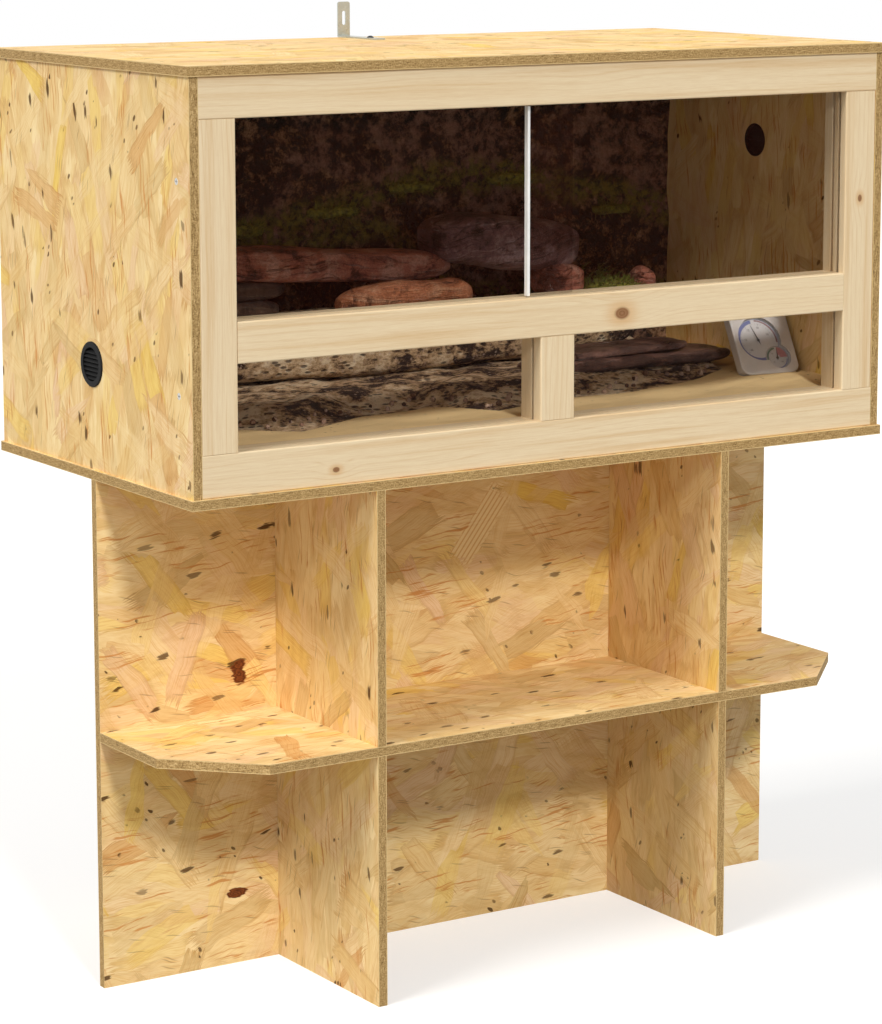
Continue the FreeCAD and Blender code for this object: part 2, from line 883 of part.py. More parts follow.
def wall_bracket():
    """A bent steel angle: one leg lies on the top board and the slotted one stands at its rear edge."""
    half = bracket_width / 2
    foot_front = half_depth - bracket_foot
    rise_front = half_depth - bracket_sheet
    rise_top = case_top + bracket_rise
    foot = block(-half, half, foot_front, half_depth, case_top, case_top + bracket_sheet)
    rise = block(-half, half, rise_front, half_depth, case_top, rise_top)
    angle = foot.fuse(rise).removeSplitter()

    def is_bend(edge):
        middle = edge.CenterOfMass
        outer = abs(middle.y - half_depth) < same_place and abs(middle.z - case_top) < same_place
        return outer and edge.Length > half

    def is_corner(edge):
        middle = edge.CenterOfMass
        at_front = abs(middle.y - foot_front) < same_place and edge.BoundBox.ZLength > bracket_sheet / 2
        at_top = abs(middle.z - rise_top) < same_place and edge.BoundBox.YLength > bracket_sheet / 2
        return (at_front or at_top) and edge.Length < 2 * bracket_sheet

    angle = angle.makeFillet(bracket_bend, [edge for edge in angle.Edges if is_bend(edge)])
    angle = angle.makeFillet(bracket_corner, [edge for edge in angle.Edges if is_corner(edge)])
    slot_r = bracket_slot_width / 2
    slot_half = bracket_slot_length / 2 - slot_r
    slot_z = case_top + bracket_slot_height
    y0 = rise_front - overrun
    through = bracket_sheet + 2 * overrun
    ends = [rod(slot_r, FreeCAD.Vector(0, y0, slot_z + way * slot_half), Y_AXIS, through) for way in (-1, 1)]
    middle = block(-slot_r, slot_r, y0, y0 + through, slot_z - slot_half, slot_z + slot_half)
    hole_start = bracket_screw_place() - Z_AXIS * overrun
    hole = rod(bracket_screw_d / 2 + screw_gap, hole_start, Z_AXIS, bracket_sheet + 2 * overrun)
    return angle.cut(ends + [middle, hole])


def wall_bracket_screw():
    """A dome-headed screw through the bracket's foot."""
    seat = bracket_screw_place() + Z_AXIS * bracket_sheet
    sphere_r = (dome_height ** 2 + (dome_d / 2) ** 2) / (2 * dome_height)
    ball = Part.makeSphere(sphere_r, seat + Z_AXIS * (dome_height - sphere_r))
    dome = ball.common(rod(dome_d, seat, Z_AXIS, dome_height + overrun))
    shank_length = bracket_sheet + bracket_screw_length - bracket_screw_d
    shank = rod(bracket_screw_d / 2, seat, -Z_AXIS, shank_length)
    tip = Part.makeCone(bracket_screw_d / 2, 0, bracket_screw_d, seat - Z_AXIS * shank_length, -Z_AXIS)
    slot = block(-drive_span / 2, drive_span / 2, -drive_width / 2, drive_width / 2, 0, dome_height)
    turned = slot.copy()
    turned.rotate(ORIGIN, Z_AXIS, 90)
    cross = slot.fuse(turned)
    cross.translate(seat + Z_AXIS * (dome_height - drive_depth))
    return dome.fuse([shank, tip]).removeSplitter().cut(cross)


# Ground and backdrop surfaces

def sand_height(x, y):
    """Height of the sand's surface above the floor of the room."""
    wave = 2 * math.pi / sand_ripple_length
    ripple = math.sin(wave * x + math.sin(wave * y)) * math.cos(wave * (y + x / 3))
    across = smooth_step((x - side_inner + sand_side_width) / (sand_side_width / 2))
    along = smooth_step((y - frame_rear) / (gauge_setback * 0.8))
    return sand_top + sand_ripple * ripple + sand_side_rise * across * along


def gravel_line(x):
    """Y of the gravel's front edge at a place across."""
    xs = [side_inner * share for share in gravel_line_x_shares]
    ys = [frame_rear + inner_depth * share for share in gravel_line_y_shares]
    for index in range(len(xs) - 1):
        if x <= xs[index + 1]:
            part = (x - xs[index]) / (xs[index + 1] - xs[index])
            return ys[index] + (ys[index + 1] - ys[index]) * part
    return ys[-1]


def gravel_height(x, y):
    """Height of the gravel bank, which starts level with the sand at its front edge."""
    wave = 2 * math.pi / gravel_lump_length
    rise = smooth_step((y - gravel_line(x)) / gravel_slope_width)
    lump = math.sin(wave * x) * math.cos(wave * y + math.sin(wave * x / 2))
    return sand_height(x, y) + rise * (gravel_rise + gravel_lump * lump)


def backdrop_y(x, z):
    """Y of the backdrop's uneven face."""
    wave = 2 * math.pi / backdrop_wave
    bumps = math.sin(wave * x + 2 * math.sin(wave * z)) * math.cos(wave * z - wave * x / 2)
    ridges = math.sin(2 * wave * z + math.cos(wave * x))
    fade = smooth_step((z - sand_top - gravel_rise) / backdrop_fade)
    return backdrop_front - backdrop_relief * fade * (bumps + ridges) / 2


def spread(low, high, step):
    """Evenly spaced places from low to high, about a step apart."""
    count = max(4, int(round((high - low) / step)))
    return [low + (high - low) * index / count for index in range(count + 1)]


def surface_face(rows):
    """A smooth face through rows of points."""
    surface = Part.BSplineSurface()
    surface.interpolate(rows)
    return surface.toShape()


def ground_solid(height, step):
    """Everything under a height formula, down past the bottom board's top face."""
    xs = spread(-side_inner - overrun, side_inner + overrun, step)
    ys = spread(frame_rear - overrun, backdrop_front + backdrop_relief + overrun, step)
    rows = [[FreeCAD.Vector(x, y, height(x, y)) for y in ys] for x in xs]
    return surface_face(rows).extrude(-Z_AXIS * (sand_level + 2 * gravel_rise))


def ground_bounds(backdrop):
    """The space inside the case that the ground fills, from the front frame to the backdrop."""
    rear = backdrop_front + backdrop_relief
    room = block(-side_inner, side_inner, frame_rear, rear, floor_top, sand_top + 2 * gravel_rise)
    return room.cut(moved(backdrop, 0, -backdrop_foot_gap, 0))


def gravel_prism(gap):
    """The upright column under the gravel, grown forwards and sideways by a gap."""
    points = []
    for x_share, y_share in zip(gravel_line_x_shares, gravel_line_y_shares):
        x = side_inner * x_share
        points.append(FreeCAD.Vector(x, frame_rear + inner_depth * y_share - gap, floor_top - overrun))
    points[0].x -= overrun
    points[-1].x += gap
    rear = backdrop_front + backdrop_relief + overrun
    points.append(FreeCAD.Vector(points[-1].x, rear, floor_top - overrun))
    points.append(FreeCAD.Vector(points[0].x, rear, floor_top - overrun))
    height = sand_level + 3 * gravel_rise + overrun
    return Part.Face(Part.makePolygon(points + [points[0]])).extrude(Z_AXIS * height)


def sand_bed(bounds):
    """The sand in front of the gravel, dug out where the gauge and its leg stand."""
    sand = ground_solid(sand_height, sand_step).common(bounds)
    return sand.cut([gravel_prism(fill_gap), gauge_pit(), leg_pit()])


def gravel_bank(bounds):
    """The bank of gravel and bark behind the sand."""
    bank = ground_solid(gravel_height, sand_step).common(bounds)
    return bank.common(gravel_prism(0))


def rock_backdrop():
    """The moulded wall in front of the back board."""
    xs = spread(-side_inner - overrun, side_inner + overrun, backdrop_step)
    zs = spread(floor_top - overrun, roof_bottom + overrun, backdrop_step)
    rows = [[FreeCAD.Vector(x, backdrop_y(x, z), z) for z in zs] for x in xs]
    slab = surface_face(rows).extrude(Y_AXIS * 2 * backdrop_thickness)
    front = backdrop_front - 2 * backdrop_relief
    return slab.common(block(-side_inner, side_inner, front, back_inner, floor_top, roof_bottom))


# Stones

def stone(length, depth, height, seed):
    """A worn slab: smooth sections with uneven outlines, joined along its length."""
    dice = random.Random(seed)
    wires = []
    for along, fullness in zip(stone_section_shares, stone_fullness_shares):
        x = length * (along - 0.5)
        sway = height * stone_wobble_share * (dice.random() - 0.5)
        points = []
        for number in range(stone_points):
            angle = 2 * math.pi * number / stone_points
            full = fullness * (1 + stone_wobble_share * (dice.random() - 0.5))
            flat = math.copysign(abs(math.cos(angle)) ** stone_square_share, math.cos(angle))
            tall = math.copysign(abs(math.sin(angle)) ** stone_square_share, math.sin(angle))
            points.append(FreeCAD.Vector(x, depth / 2 * full * flat, height / 2 * full * tall + sway))
        curve = Part.BSplineCurve()
        curve.interpolate(Points=points, PeriodicFlag=True)
        wires.append(Part.Wire(curve.toShape()))
    return Part.makeLoft(wires, True, False)


def set_stone(size, x_share, y_share, base, turn, seed):
    """A stone with its front at a place in the case, its underside at a height and a turn in the wall."""
    length, depth, height = size
    rock = stone(length, depth, height, seed)
    rock.rotate(ORIGIN, Y_AXIS, turn)
    x = side_inner * x_share
    y = frame_rear + inner_depth * y_share + depth / 2
    rock.translate(FreeCAD.Vector(x, y, case_bottom + base + height / 2))
    return rock


def trimmed(rock, uprights, supports):
    """A stone cut back from what stands behind it and from what lies under it."""
    cutters = [moved(other, 0, -stone_gap, 0) for other in uprights]
    cutters += [moved(other, 0, 0, stone_gap) for other in supports]
    pieces = sorted(rock.cut(cutters).Solids, key=lambda solid: solid.Volume)
    return pieces[-1]


def stones(backdrop, bank):
    """All the stones, each trimmed to lie against its neighbours."""
    ledge_size = (ledge_length, ledge_depth, ledge_height)
    ledge = set_stone(ledge_size, ledge_x_share, ledge_y_share, ledge_base, 0, 1)
    ledge = trimmed(ledge, [backdrop], [bank])
    ledge_top = ledge_base + ledge_height
    low_size = (left_low_length, left_low_depth, left_low_height)
    low_base = ledge_top - left_low_height * 0.25
    left_low = set_stone(low_size, left_low_x_share, left_low_y_share, low_base, 0, 2)
    left_low = trimmed(left_low, [backdrop], [ledge])
    high_size = (left_high_length, left_high_depth, left_high_height)
    high_base = low_base + left_low_height * 0.94
    left_high = set_stone(high_size, left_high_x_share, left_high_y_share, high_base, 0, 3)
    left_high = trimmed(left_high, [backdrop], [left_low])
    red_size = (red_slab_length, red_slab_depth, red_slab_height)
    red_base = high_base + left_high_height * 0.70
    red = set_stone(red_size, red_slab_x_share, red_slab_y_share, red_base, red_slab_turn, 4)
    red = trimmed(red, [backdrop], [left_high, ledge])
    round_size = (round_slab_length, round_slab_depth, round_slab_height)
    round_base = ledge_top - round_slab_height * 0.12
    round_slab = set_stone(round_size, round_slab_x_share, round_slab_y_share, round_base, round_slab_turn, 5)
    round_slab = trimmed(round_slab, [backdrop, red], [ledge])
    small_size = (small_red_length, small_red_depth, small_red_height)
    small_base = ledge_top - small_red_height * 0.04
    small_red = set_stone(small_size, small_red_x_share, small_red_y_share, small_base, 0, 6)
    small_red = trimmed(small_red, [backdrop], [ledge])
    grey_size = (grey_slab_length, grey_slab_depth, grey_slab_height)
    grey_base = small_base + small_red_height * 0.92
    grey = set_stone(grey_size, grey_slab_x_share, grey_slab_y_share, grey_base, grey_slab_turn, 7)
    grey = trimmed(grey, [backdrop], [small_red, red, round_slab])
    stump_size = (stump_length, stump_depth, stump_height)
    stump_base = ledge_top - stump_height * 0.3
    stump = set_stone(stump_size, stump_x_share, stump_y_share, stump_base, 0, 8)
    stump = trimmed(stump, [backdrop], [ledge])
    flat_size = (flat_low_length, flat_low_depth, flat_low_height)
    flat_base = board + sand_level + gravel_rise * 0.75
    flat_low = set_stone(flat_size, flat_low_x_share, flat_low_y_share, flat_base, 0, 9)
    flat_low = trimmed(flat_low, [ledge], [bank])
    upper_size = (flat_high_length, flat_high_depth, flat_high_height)
    upper_base = flat_base + flat_low_height * 0.88
    flat_high = set_stone(upper_size, flat_high_x_share, flat_high_y_share, upper_base, flat_high_turn, 10)
    flat_high = trimmed(flat_high, [ledge], [flat_low])
    return {
        "strata_ledge": ledge,
        "left_lower_slab": left_low,
        "left_upper_slab": left_high,
        "long_red_slab": red,
        "round_end_slab": round_slab,
        "grey_slab": grey,
        "small_red_stone": small_red,
        "stump_stone": stump,
        "flat_stone_lower": flat_low,
        "flat_stone_upper": flat_high,
    }


def moss_cushions(backdrop, rocks):
    """Cushions of moss against the backdrop, and one on the ledge."""
    others = list(rocks.values())
    cushions = []
    for number, x_share in enumerate(moss_x_shares):
        share = moss_size_shares[number]
        x = side_inner * x_share
        z = floor_top + inner_height * moss_z_shares[number]
        pad = stone(moss_length * share, moss_depth * share, moss_height * share, 20 + number)
        pad.translate(FreeCAD.Vector(x, backdrop_y(x, z), z))
        cushions.append(trimmed(pad, [backdrop], others))
    size = (moss_length * fern_size_share, moss_depth * 2, moss_height * 2)
    base = ledge_base + ledge_height - moss_height
    clump = set_stone(size, fern_x_share, fern_y_share, base, 0, 30)
    uprights = [backdrop, rocks["stump_stone"], rocks["small_red_stone"]]
    cushions.append(trimmed(clump, uprights, [rocks["strata_ledge"]]))
    return Part.makeCompound(cushions)


def crumb(size, dice):
    """A small uneven block, wider at its foot than at its top."""
    rings = []
    for level, share in ((0, 1.0), (crumb_middle_share, 1.1), (crumb_top_share, 0.6)):
        ring = []
        for number in range(crumb_sides):
            angle = 2 * math.pi * number / crumb_sides
            reach = size / 2 * share * (1 - crumb_wobble_share * dice.random())
            ring.append(FreeCAD.Vector(reach * math.cos(angle), reach * math.sin(angle), size * level))
        rings.append(ring)
    faces = [Part.Face(Part.makePolygon(rings[0] + rings[0][:1]))]
    for low, high in zip(rings, rings[1:]):
        for number in range(crumb_sides):
            after = (number + 1) % crumb_sides
            faces.append(Part.Face(Part.makePolygon([low[number], low[after], high[after], low[number]])))
            faces.append(Part.Face(Part.makePolygon([low[number], high[after], high[number], low[number]])))
    faces.append(Part.Face(Part.makePolygon(rings[-1] + rings[-1][:1])))
    return Part.makeSolid(Part.makeShell(faces))


def gravel_crumbs(bank):
    """Loose crumbs that lie on the gravel's front slope."""
    dice = random.Random(3)
    crumbs = []
    low = side_inner * gravel_line_x_shares[0] + crumb_size
    high = side_inner * gravel_line_x_shares[-1] - crumb_size
    for number in range(crumb_count):
        x = low + (high - low) * (number + dice.random()) / crumb_count
        y = gravel_line(x) + crumb_size * (1.2 + 3.5 * dice.random())
        size = crumb_size * (0.6 + 0.7 * dice.random())
        slope = math.atan2(gravel_height(x, y + size) - gravel_height(x, y - size), 2 * size)
        pebble = crumb(size, dice)
        pebble.rotate(ORIGIN, X_AXIS, math.degrees(slope))
        pebble.translate(FreeCAD.Vector(x, y, gravel_height(x, y) + size))
        for attempt in range(settle_rounds):
            pebble.translate(Z_AXIS * (crumb_gap - pebble.distToShape(bank)[0]))
        near = [other for other in crumbs if other.BoundBox.intersect(pebble.BoundBox)]
        if not any(other.distToShape(pebble)[0] < crumb_gap for other in near):
            crumbs.append(pebble)
    return Part.makeCompound(crumbs)


# Gauge, made upright at the origin with its face towards -Y, and then set in place

def gauge_placement():
    """Where the gauge stands: leaning back, turned a little to the left."""
    yaw = math.radians(gauge_yaw)
    lean = math.radians(gauge_lean)
    x = side_inner - gauge_wall_gap - gauge_width / 2 * math.cos(yaw)
    z = sand_top - gauge_sink + gauge_thickness * math.sin(lean)
    base = FreeCAD.Vector(x, frame_rear + gauge_setback, z)
    turn = FreeCAD.Rotation(Z_AXIS, -gauge_yaw).multiply(FreeCAD.Rotation(X_AXIS, -gauge_lean))
    return FreeCAD.Placement(base, turn)


def in_place(shape):
    """A gauge piece moved from the origin to where the gauge stands."""
    placed = shape.copy()
    placed.Placement = gauge_placement().multiply(shape.Placement)
    return placed


def rounded_plate(inset, y0, y1):
    """The case's outline drawn in by an inset, between two depths."""
    half = gauge_width / 2 - inset
    plate = block(-half, half, y0, y1, inset, gauge_height - inset)
    upright = [edge for edge in plate.Edges if edge.BoundBox.YLength > (y1 - y0) / 2]
    return plate.makeFillet(gauge_corner - inset, upright)


def dial_hole(x, z, radius, y0, y1):
    """A round hole through the gauge's depth."""
    return rod(radius, FreeCAD.Vector(x, y0, z), Y_AXIS, y1 - y0)


def gauge_case():
    """The front shell, with two overlapping round windows and a ledge for the dial plate."""
    shell = rounded_plate(0, 0, gauge_front_depth)
    front = [edge for edge in shell.Edges if edge.BoundBox.YMax < same_place]
    shell = shell.makeFillet(gauge_edge_round, front)
    rear_room = rounded_plate(gauge_wall, dial_depth, gauge_front_depth + overrun)
    front_room = rounded_plate(gauge_wall + gauge_ledge, gauge_wall, dial_depth + overrun)
    depth = gauge_wall + overrun
    big = dial_hole(temperature_dial_x, temperature_dial_z, temperature_dial_r, -overrun, depth)
    small = dial_hole(humidity_dial_x, humidity_dial_z, humidity_dial_r, -overrun, depth)
    return in_place(shell.cut([rear_room, front_room, big, small]))


def gauge_lens():
    """The clear sheet behind the front wall."""
    inset = gauge_wall + gauge_ledge + gauge_fit_gap
    return in_place(rounded_plate(inset, gauge_wall, gauge_wall + lens))


def gauge_dial_plate():
    """The printed plate on the ledge, with a hole for each spindle."""
    plate = rounded_plate(gauge_wall + gauge_fit_gap, dial_depth, dial_depth + dial_sheet)
    hole_r = spindle_r + spindle_gap
    y0 = dial_depth - overrun
    y1 = dial_depth + dial_sheet + overrun
    first = dial_hole(temperature_dial_x, temperature_dial_z, hole_r, y0, y1)
    second = dial_hole(humidity_dial_x, humidity_dial_z, hole_r, y0, y1)
    return in_place(plate.cut([first, second]))


def leg_axis_y():
    """Depth of the leg's hinge pin behind the face."""
    return gauge_thickness - leg_sheet / 2 - leg_gap


def gauge_back_cover():
    """The rear plate, with a recess for the folded leg and holes for its pin."""
    cover = rounded_plate(0, gauge_front_depth, gauge_thickness)
    rear = [edge for edge in cover.Edges if edge.BoundBox.YMin > gauge_thickness - same_place]
    cover = cover.makeFillet(gauge_edge_round / 2, rear)
    half = leg_width / 2 + leg_gap
    recess_front = leg_axis_y() - leg_sheet / 2 - leg_gap
    low = leg_hinge_height - leg_length - leg_gap
    high = leg_hinge_height + leg_sheet / 2 + leg_gap
    recess = block(-half, half, recess_front, gauge_thickness + overrun, low, high)
    pin_half = leg_width / 2 + leg_pin_bite + leg_gap
    start = FreeCAD.Vector(-pin_half, leg_axis_y(), leg_hinge_height)
    pin_hole = rod(leg_pin_r + leg_pin_gap, start, X_AXIS, 2 * pin_half)
    return in_place(cover.cut([recess, pin_hole]))


def gauge_leg():
    """The fold-out leg at its open stop."""
    y = leg_axis_y()
    half = leg_width / 2
    sheet_r = leg_sheet / 2
    foot_z = leg_hinge_height - leg_length + sheet_r
    barrel = rod(sheet_r, FreeCAD.Vector(-half, y, leg_hinge_height), X_AXIS, leg_width)
    foot = rod(sheet_r, FreeCAD.Vector(-half, y, foot_z), X_AXIS, leg_width)
    flap = block(-half, half, y - sheet_r, y + sheet_r, foot_z, leg_hinge_height)
    start = FreeCAD.Vector(-half - overrun, y, leg_hinge_height)
    hole = rod(leg_pin_r + leg_pin_gap, start, X_AXIS, leg_width + 2 * overrun)
    window_half = half - 2 * leg_sheet
    window_low = foot_z + 3 * leg_sheet
    window_high = leg_hinge_height - 3 * leg_sheet
    window = block(-window_half, window_half, y - leg_sheet, y + leg_sheet, window_low, window_high)
    leg = barrel.fuse([foot, flap]).removeSplitter().cut([hole, window])
    leg.rotate(FreeCAD.Vector(0, y, leg_hinge_height), X_AXIS, leg_open_angle)
    return in_place(leg)


def gauge_leg_pin():
    """The pin that the leg turns on."""
    half = leg_width / 2 + leg_pin_bite
    return in_place(rod(leg_pin_r, FreeCAD.Vector(-half, leg_axis_y(), leg_hinge_height), X_AXIS, 2 * half))


def needle(x, z, depth, length, tail, angle):
    """A pointer with its hub and the spindle that runs back through the dial plate."""
    outline = [(-needle_half_width, 0), (0, length), (needle_half_width, 0), (0, -tail)]
    points = [FreeCAD.Vector(across, 0, up) for across, up in outline]
    blade = Part.Face(Part.makePolygon(points + [points[0]])).extrude(Y_AXIS * needle_sheet)
    hub = rod(hub_r, ORIGIN - Y_AXIS * needle_sheet / 2, Y_AXIS, 2 * needle_sheet)
    spindle = rod(spindle_r, ORIGIN, Y_AXIS, gauge_front_depth - spindle_end_room - depth)
    pointer = hub.fuse([blade, spindle]).removeSplitter()
    pointer.rotate(ORIGIN, Y_AXIS, -angle)
    pointer.translate(FreeCAD.Vector(x, depth, z))
    return in_place(pointer)


def temperature_needle():
    """The large dial's pointer."""
    return needle(temperature_dial_x, temperature_dial_z, temperature_needle_depth,
                  temperature_needle_length, temperature_needle_tail, temperature_needle_angle)


def humidity_needle():
    """The small dial's pointer."""
    return needle(humidity_dial_x, humidity_dial_z, humidity_needle_depth,
                  humidity_needle_length, humidity_needle_tail, humidity_needle_angle)


def spiral_edges(offset, turns):
    """Half-turn arcs of a flat spiral, moved sideways by an offset."""
    edges = []
    for number in range(2 * turns):
        radius = coil_start_r + number * coil_pitch / 2 + offset
        centre = 0 if number % 2 == 0 else coil_pitch / 2
        way = 1 if number % 2 == 0 else -1
        first = FreeCAD.Vector(centre + way * radius, 0, 0)
        top = FreeCAD.Vector(centre, 0, way * radius)
        last = FreeCAD.Vector(centre - way * radius, 0, 0)
        edges.append(Part.Arc(first, top, last).toShape())
    return edges


def coil(x, z, turns):
    """A flat spiral strip behind the dial plate, round a spindle."""
    outer = spiral_edges(coil_strip / 2, turns)
    inner = spiral_edges(-coil_strip / 2, turns)
    start = Part.LineSegment(inner[0].Vertexes[0].Point, outer[0].Vertexes[0].Point).toShape()
    end = Part.LineSegment(inner[-1].Vertexes[1].Point, outer[-1].Vertexes[1].Point).toShape()
    outline = Part.Wire(Part.__sortEdges__(outer + inner + [start, end]))
    strip = Part.Face(outline).extrude(Y_AXIS * coil_height)
    strip.translate(FreeCAD.Vector(x, dial_depth + dial_sheet, z))
    return in_place(strip)


def gauge_ground(along, z):
    """A point on the ground plan of the gauge's middle, some way behind its lower front edge."""
    yaw = math.radians(gauge_yaw)
    base = gauge_placement().Base
    return FreeCAD.Vector(base.x + along * math.sin(yaw), base.y + along * math.cos(yaw), z)


def pit(outline, width):
    """An upright-sided hollow with an outline in the gauge's middle plane."""
    yaw = math.radians(gauge_yaw)
    across = FreeCAD.Vector(math.cos(yaw), -math.sin(yaw), 0)
    points = [gauge_ground(along, z) - across * (width / 2) for along, z in outline]
    return Part.Face(Part.makePolygon(points + [points[0]])).extrude(across * width)


def gauge_pit():
    """The hollow pressed into the sand by the gauge's case."""
    lean = math.radians(gauge_lean)
    base_z = gauge_placement().Base.z
    rear = gauge_thickness * math.cos(lean) + leg_seat_gap
    floor_z = base_z - gauge_thickness * math.sin(lean) - leg_seat_gap
    outline = [
        (-pit_front, base_z + pit_front * math.tan(lean) - leg_seat_gap),
        (0, base_z - leg_seat_gap),
        (rear, floor_z),
        (rear + pit_head * math.tan(lean), floor_z + pit_head),
        (-pit_front, floor_z + pit_head),
    ]
    return pit(outline, gauge_width + 2 * pit_side)


def leg_pit():
    """The hollow that lets the leg swing, with a flat pad for its foot."""
    lean = math.radians(gauge_lean)
    base_z = gauge_placement().Base.z
    hinge_along = leg_hinge_height * math.sin(lean) + leg_axis_y() * math.cos(lean)
    hinge_z = base_z + leg_hinge_height * math.cos(lean) - leg_axis_y() * math.sin(lean)
    back_swing = math.radians(leg_open_angle - gauge_lean)
    foot_reach = leg_length - leg_sheet / 2
    foot_along = hinge_along + foot_reach * math.sin(back_swing)
    pad_z = hinge_z - foot_reach * math.cos(back_swing) - leg_sheet / 2 - leg_seat_gap
    floor_z = hinge_z - leg_length - leg_seat_gap
    slope_run = (pad_z - floor_z) / math.tan(math.radians(pit_slope))
    outline = [
        (0, floor_z),
        (foot_along - pad_lead - slope_run, floor_z),
        (foot_along - pad_lead, pad_z),
        (foot_along + pad_tail, pad_z),
        (foot_along + pad_tail, floor_z + pit_head),
        (0, floor_z + pit_head),
    ]
    return pit(outline, leg_width + 2 * leg_pit_side)


def build():
    """Make every node."""
    nodes = {}
    nodes["stand_centre_panel"] = stand_centre_panel()
    nodes["stand_left_divider"] = stand_divider(-divider_x)
    nodes["stand_right_divider"] = stand_divider(divider_x)
    nodes["stand_shelf"] = stand_shelf()
    nodes["bottom_panel"] = bottom_panel()
    nodes["top_panel"] = top_panel()
    nodes["left_side_panel"] = side_panel(-1)
    nodes["right_side_panel"] = side_panel(1)
    nodes["back_panel"] = back_panel()
    nodes["cam_discs"] = Part.makeCompound([cam_disc(face, way) for face, way in cam_places()])
    nodes["cam_bolts"] = Part.makeCompound([cam_bolt(face, way, 0) for face, way in cam_places()])
    pins = [panel_dowel(at, way, 0, 0) for at, way in panel_dowel_places()]
    nodes["panel_dowels"] = Part.makeCompound(pins)
    nodes["board_screws"] = board_screws()
    nodes["frame_top_rail"] = frame_top_rail()
    nodes["frame_middle_rail"] = frame_middle_rail()
    nodes["frame_bottom_rail"] = frame_bottom_rail()
    nodes["frame_left_stile"] = frame_stile(-1)
    nodes["frame_right_stile"] = frame_stile(1)
    nodes["frame_centre_post"] = frame_centre_post()
    pins = [frame_dowel(at, way, 0, 0) for at, way in frame_dowel_places()]
    nodes["frame_dowels"] = Part.makeCompound(pins)
    side_screws = [screw(start, way, side_screw_length) for start, way in side_screw_places()]
    nodes["frame_side_screws"] = Part.makeCompound(side_screws)
    nodes["left_sliding_pane"] = sliding_pane(-1)
    nodes["right_sliding_pane"] = sliding_pane(1)
    nodes["right_pane_edge_strip"] = pane_edge_strip()
    nodes["lower_left_glass"] = fixed_pane(-1)
    nodes["lower_right_glass"] = fixed_pane(1)
    for side, name in ((-1, "left"), (1, "right")):
        nodes[name + "_vent_cap"] = vent_cap(side)
        nodes[name + "_vent_mesh"] = vent_mesh(side)
        nodes[name + "_vent_ring"] = vent_mesh_ring(side)
    nodes["wall_bracket"] = wall_bracket()
    nodes["wall_bracket_screw"] = wall_bracket_screw()
    nodes["gauge_case"] = gauge_case()
    nodes["gauge_lens"] = gauge_lens()
    nodes["gauge_dial_plate"] = gauge_dial_plate()
    nodes["gauge_back_cover"] = gauge_back_cover()
    nodes["temperature_needle"] = temperature_needle()
    nodes["humidity_needle"] = humidity_needle()
    nodes["temperature_coil"] = coil(temperature_dial_x, temperature_dial_z, temperature_coil_turns)
    nodes["humidity_coil"] = coil(humidity_dial_x, humidity_dial_z, humidity_coil_turns)
    nodes["gauge_leg"] = gauge_leg()
    nodes["gauge_leg_pin"] = gauge_leg_pin()
    backdrop = rock_backdrop()
    bounds = ground_bounds(backdrop)
    sand = sand_bed(bounds)
    bank = gravel_bank(bounds)
    nodes["rock_backdrop"] = backdrop
    nodes["sand_bed"] = sand
    nodes["gravel_bank"] = bank
    rocks = stones(backdrop, bank)
    nodes.update(rocks)
    nodes["moss_cushions"] = moss_cushions(backdrop, rocks)
    nodes["gravel_crumbs"] = gravel_crumbs(bank)
    return nodes


for node_name, node_shape in build().items():
    save(node_name, node_shape)
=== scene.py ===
import bmesh
import bpy
import json
import math
import random
from mathutils import Matrix, Vector


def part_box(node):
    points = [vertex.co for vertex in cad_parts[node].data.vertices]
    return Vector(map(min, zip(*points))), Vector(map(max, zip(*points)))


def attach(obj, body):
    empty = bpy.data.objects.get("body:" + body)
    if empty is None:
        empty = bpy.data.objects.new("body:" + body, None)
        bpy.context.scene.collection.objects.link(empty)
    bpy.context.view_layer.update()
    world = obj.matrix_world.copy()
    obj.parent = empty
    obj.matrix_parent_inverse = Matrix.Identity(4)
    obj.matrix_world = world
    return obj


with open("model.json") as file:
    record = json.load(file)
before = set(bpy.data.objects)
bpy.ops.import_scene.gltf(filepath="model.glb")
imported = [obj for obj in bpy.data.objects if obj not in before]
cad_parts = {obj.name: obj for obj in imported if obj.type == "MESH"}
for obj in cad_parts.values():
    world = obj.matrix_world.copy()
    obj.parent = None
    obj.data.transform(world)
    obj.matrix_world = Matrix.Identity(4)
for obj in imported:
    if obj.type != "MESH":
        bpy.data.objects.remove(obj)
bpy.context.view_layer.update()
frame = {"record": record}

bl_info = {
    "name": "Wooden terrarium",
    "version": (1, 0, 0),
    "blender": (4, 5, 0),
    "location": "View3D > Sidebar > Terrarium",
    "description": "Finishes and small details of a wooden terrarium on its stand",
    "category": "Object",
}

JOINTS = {joint["name"]: joint for joint in frame["record"]["behaviour"]["joints"]}
MM = 0.001
UPRIGHT = Matrix.Rotation(math.radians(90), 4, "X")


# Settings that a user would change

def picker(name, description, default):
    """A colour picker."""
    return bpy.props.FloatVectorProperty(
        name=name, description=description, default=default, subtype="COLOR", size=3, min=0, max=1)


def amount_of(name, description, default, **kind):
    """A number of some kind."""
    return bpy.props.FloatProperty(name=name, description=description, default=default, **kind)


LENGTH = {"unit": "LENGTH", "min": 0}
SHARE = {"subtype": "FACTOR", "min": 0, "max": 1}
ANGLE = {"subtype": "ANGLE"}


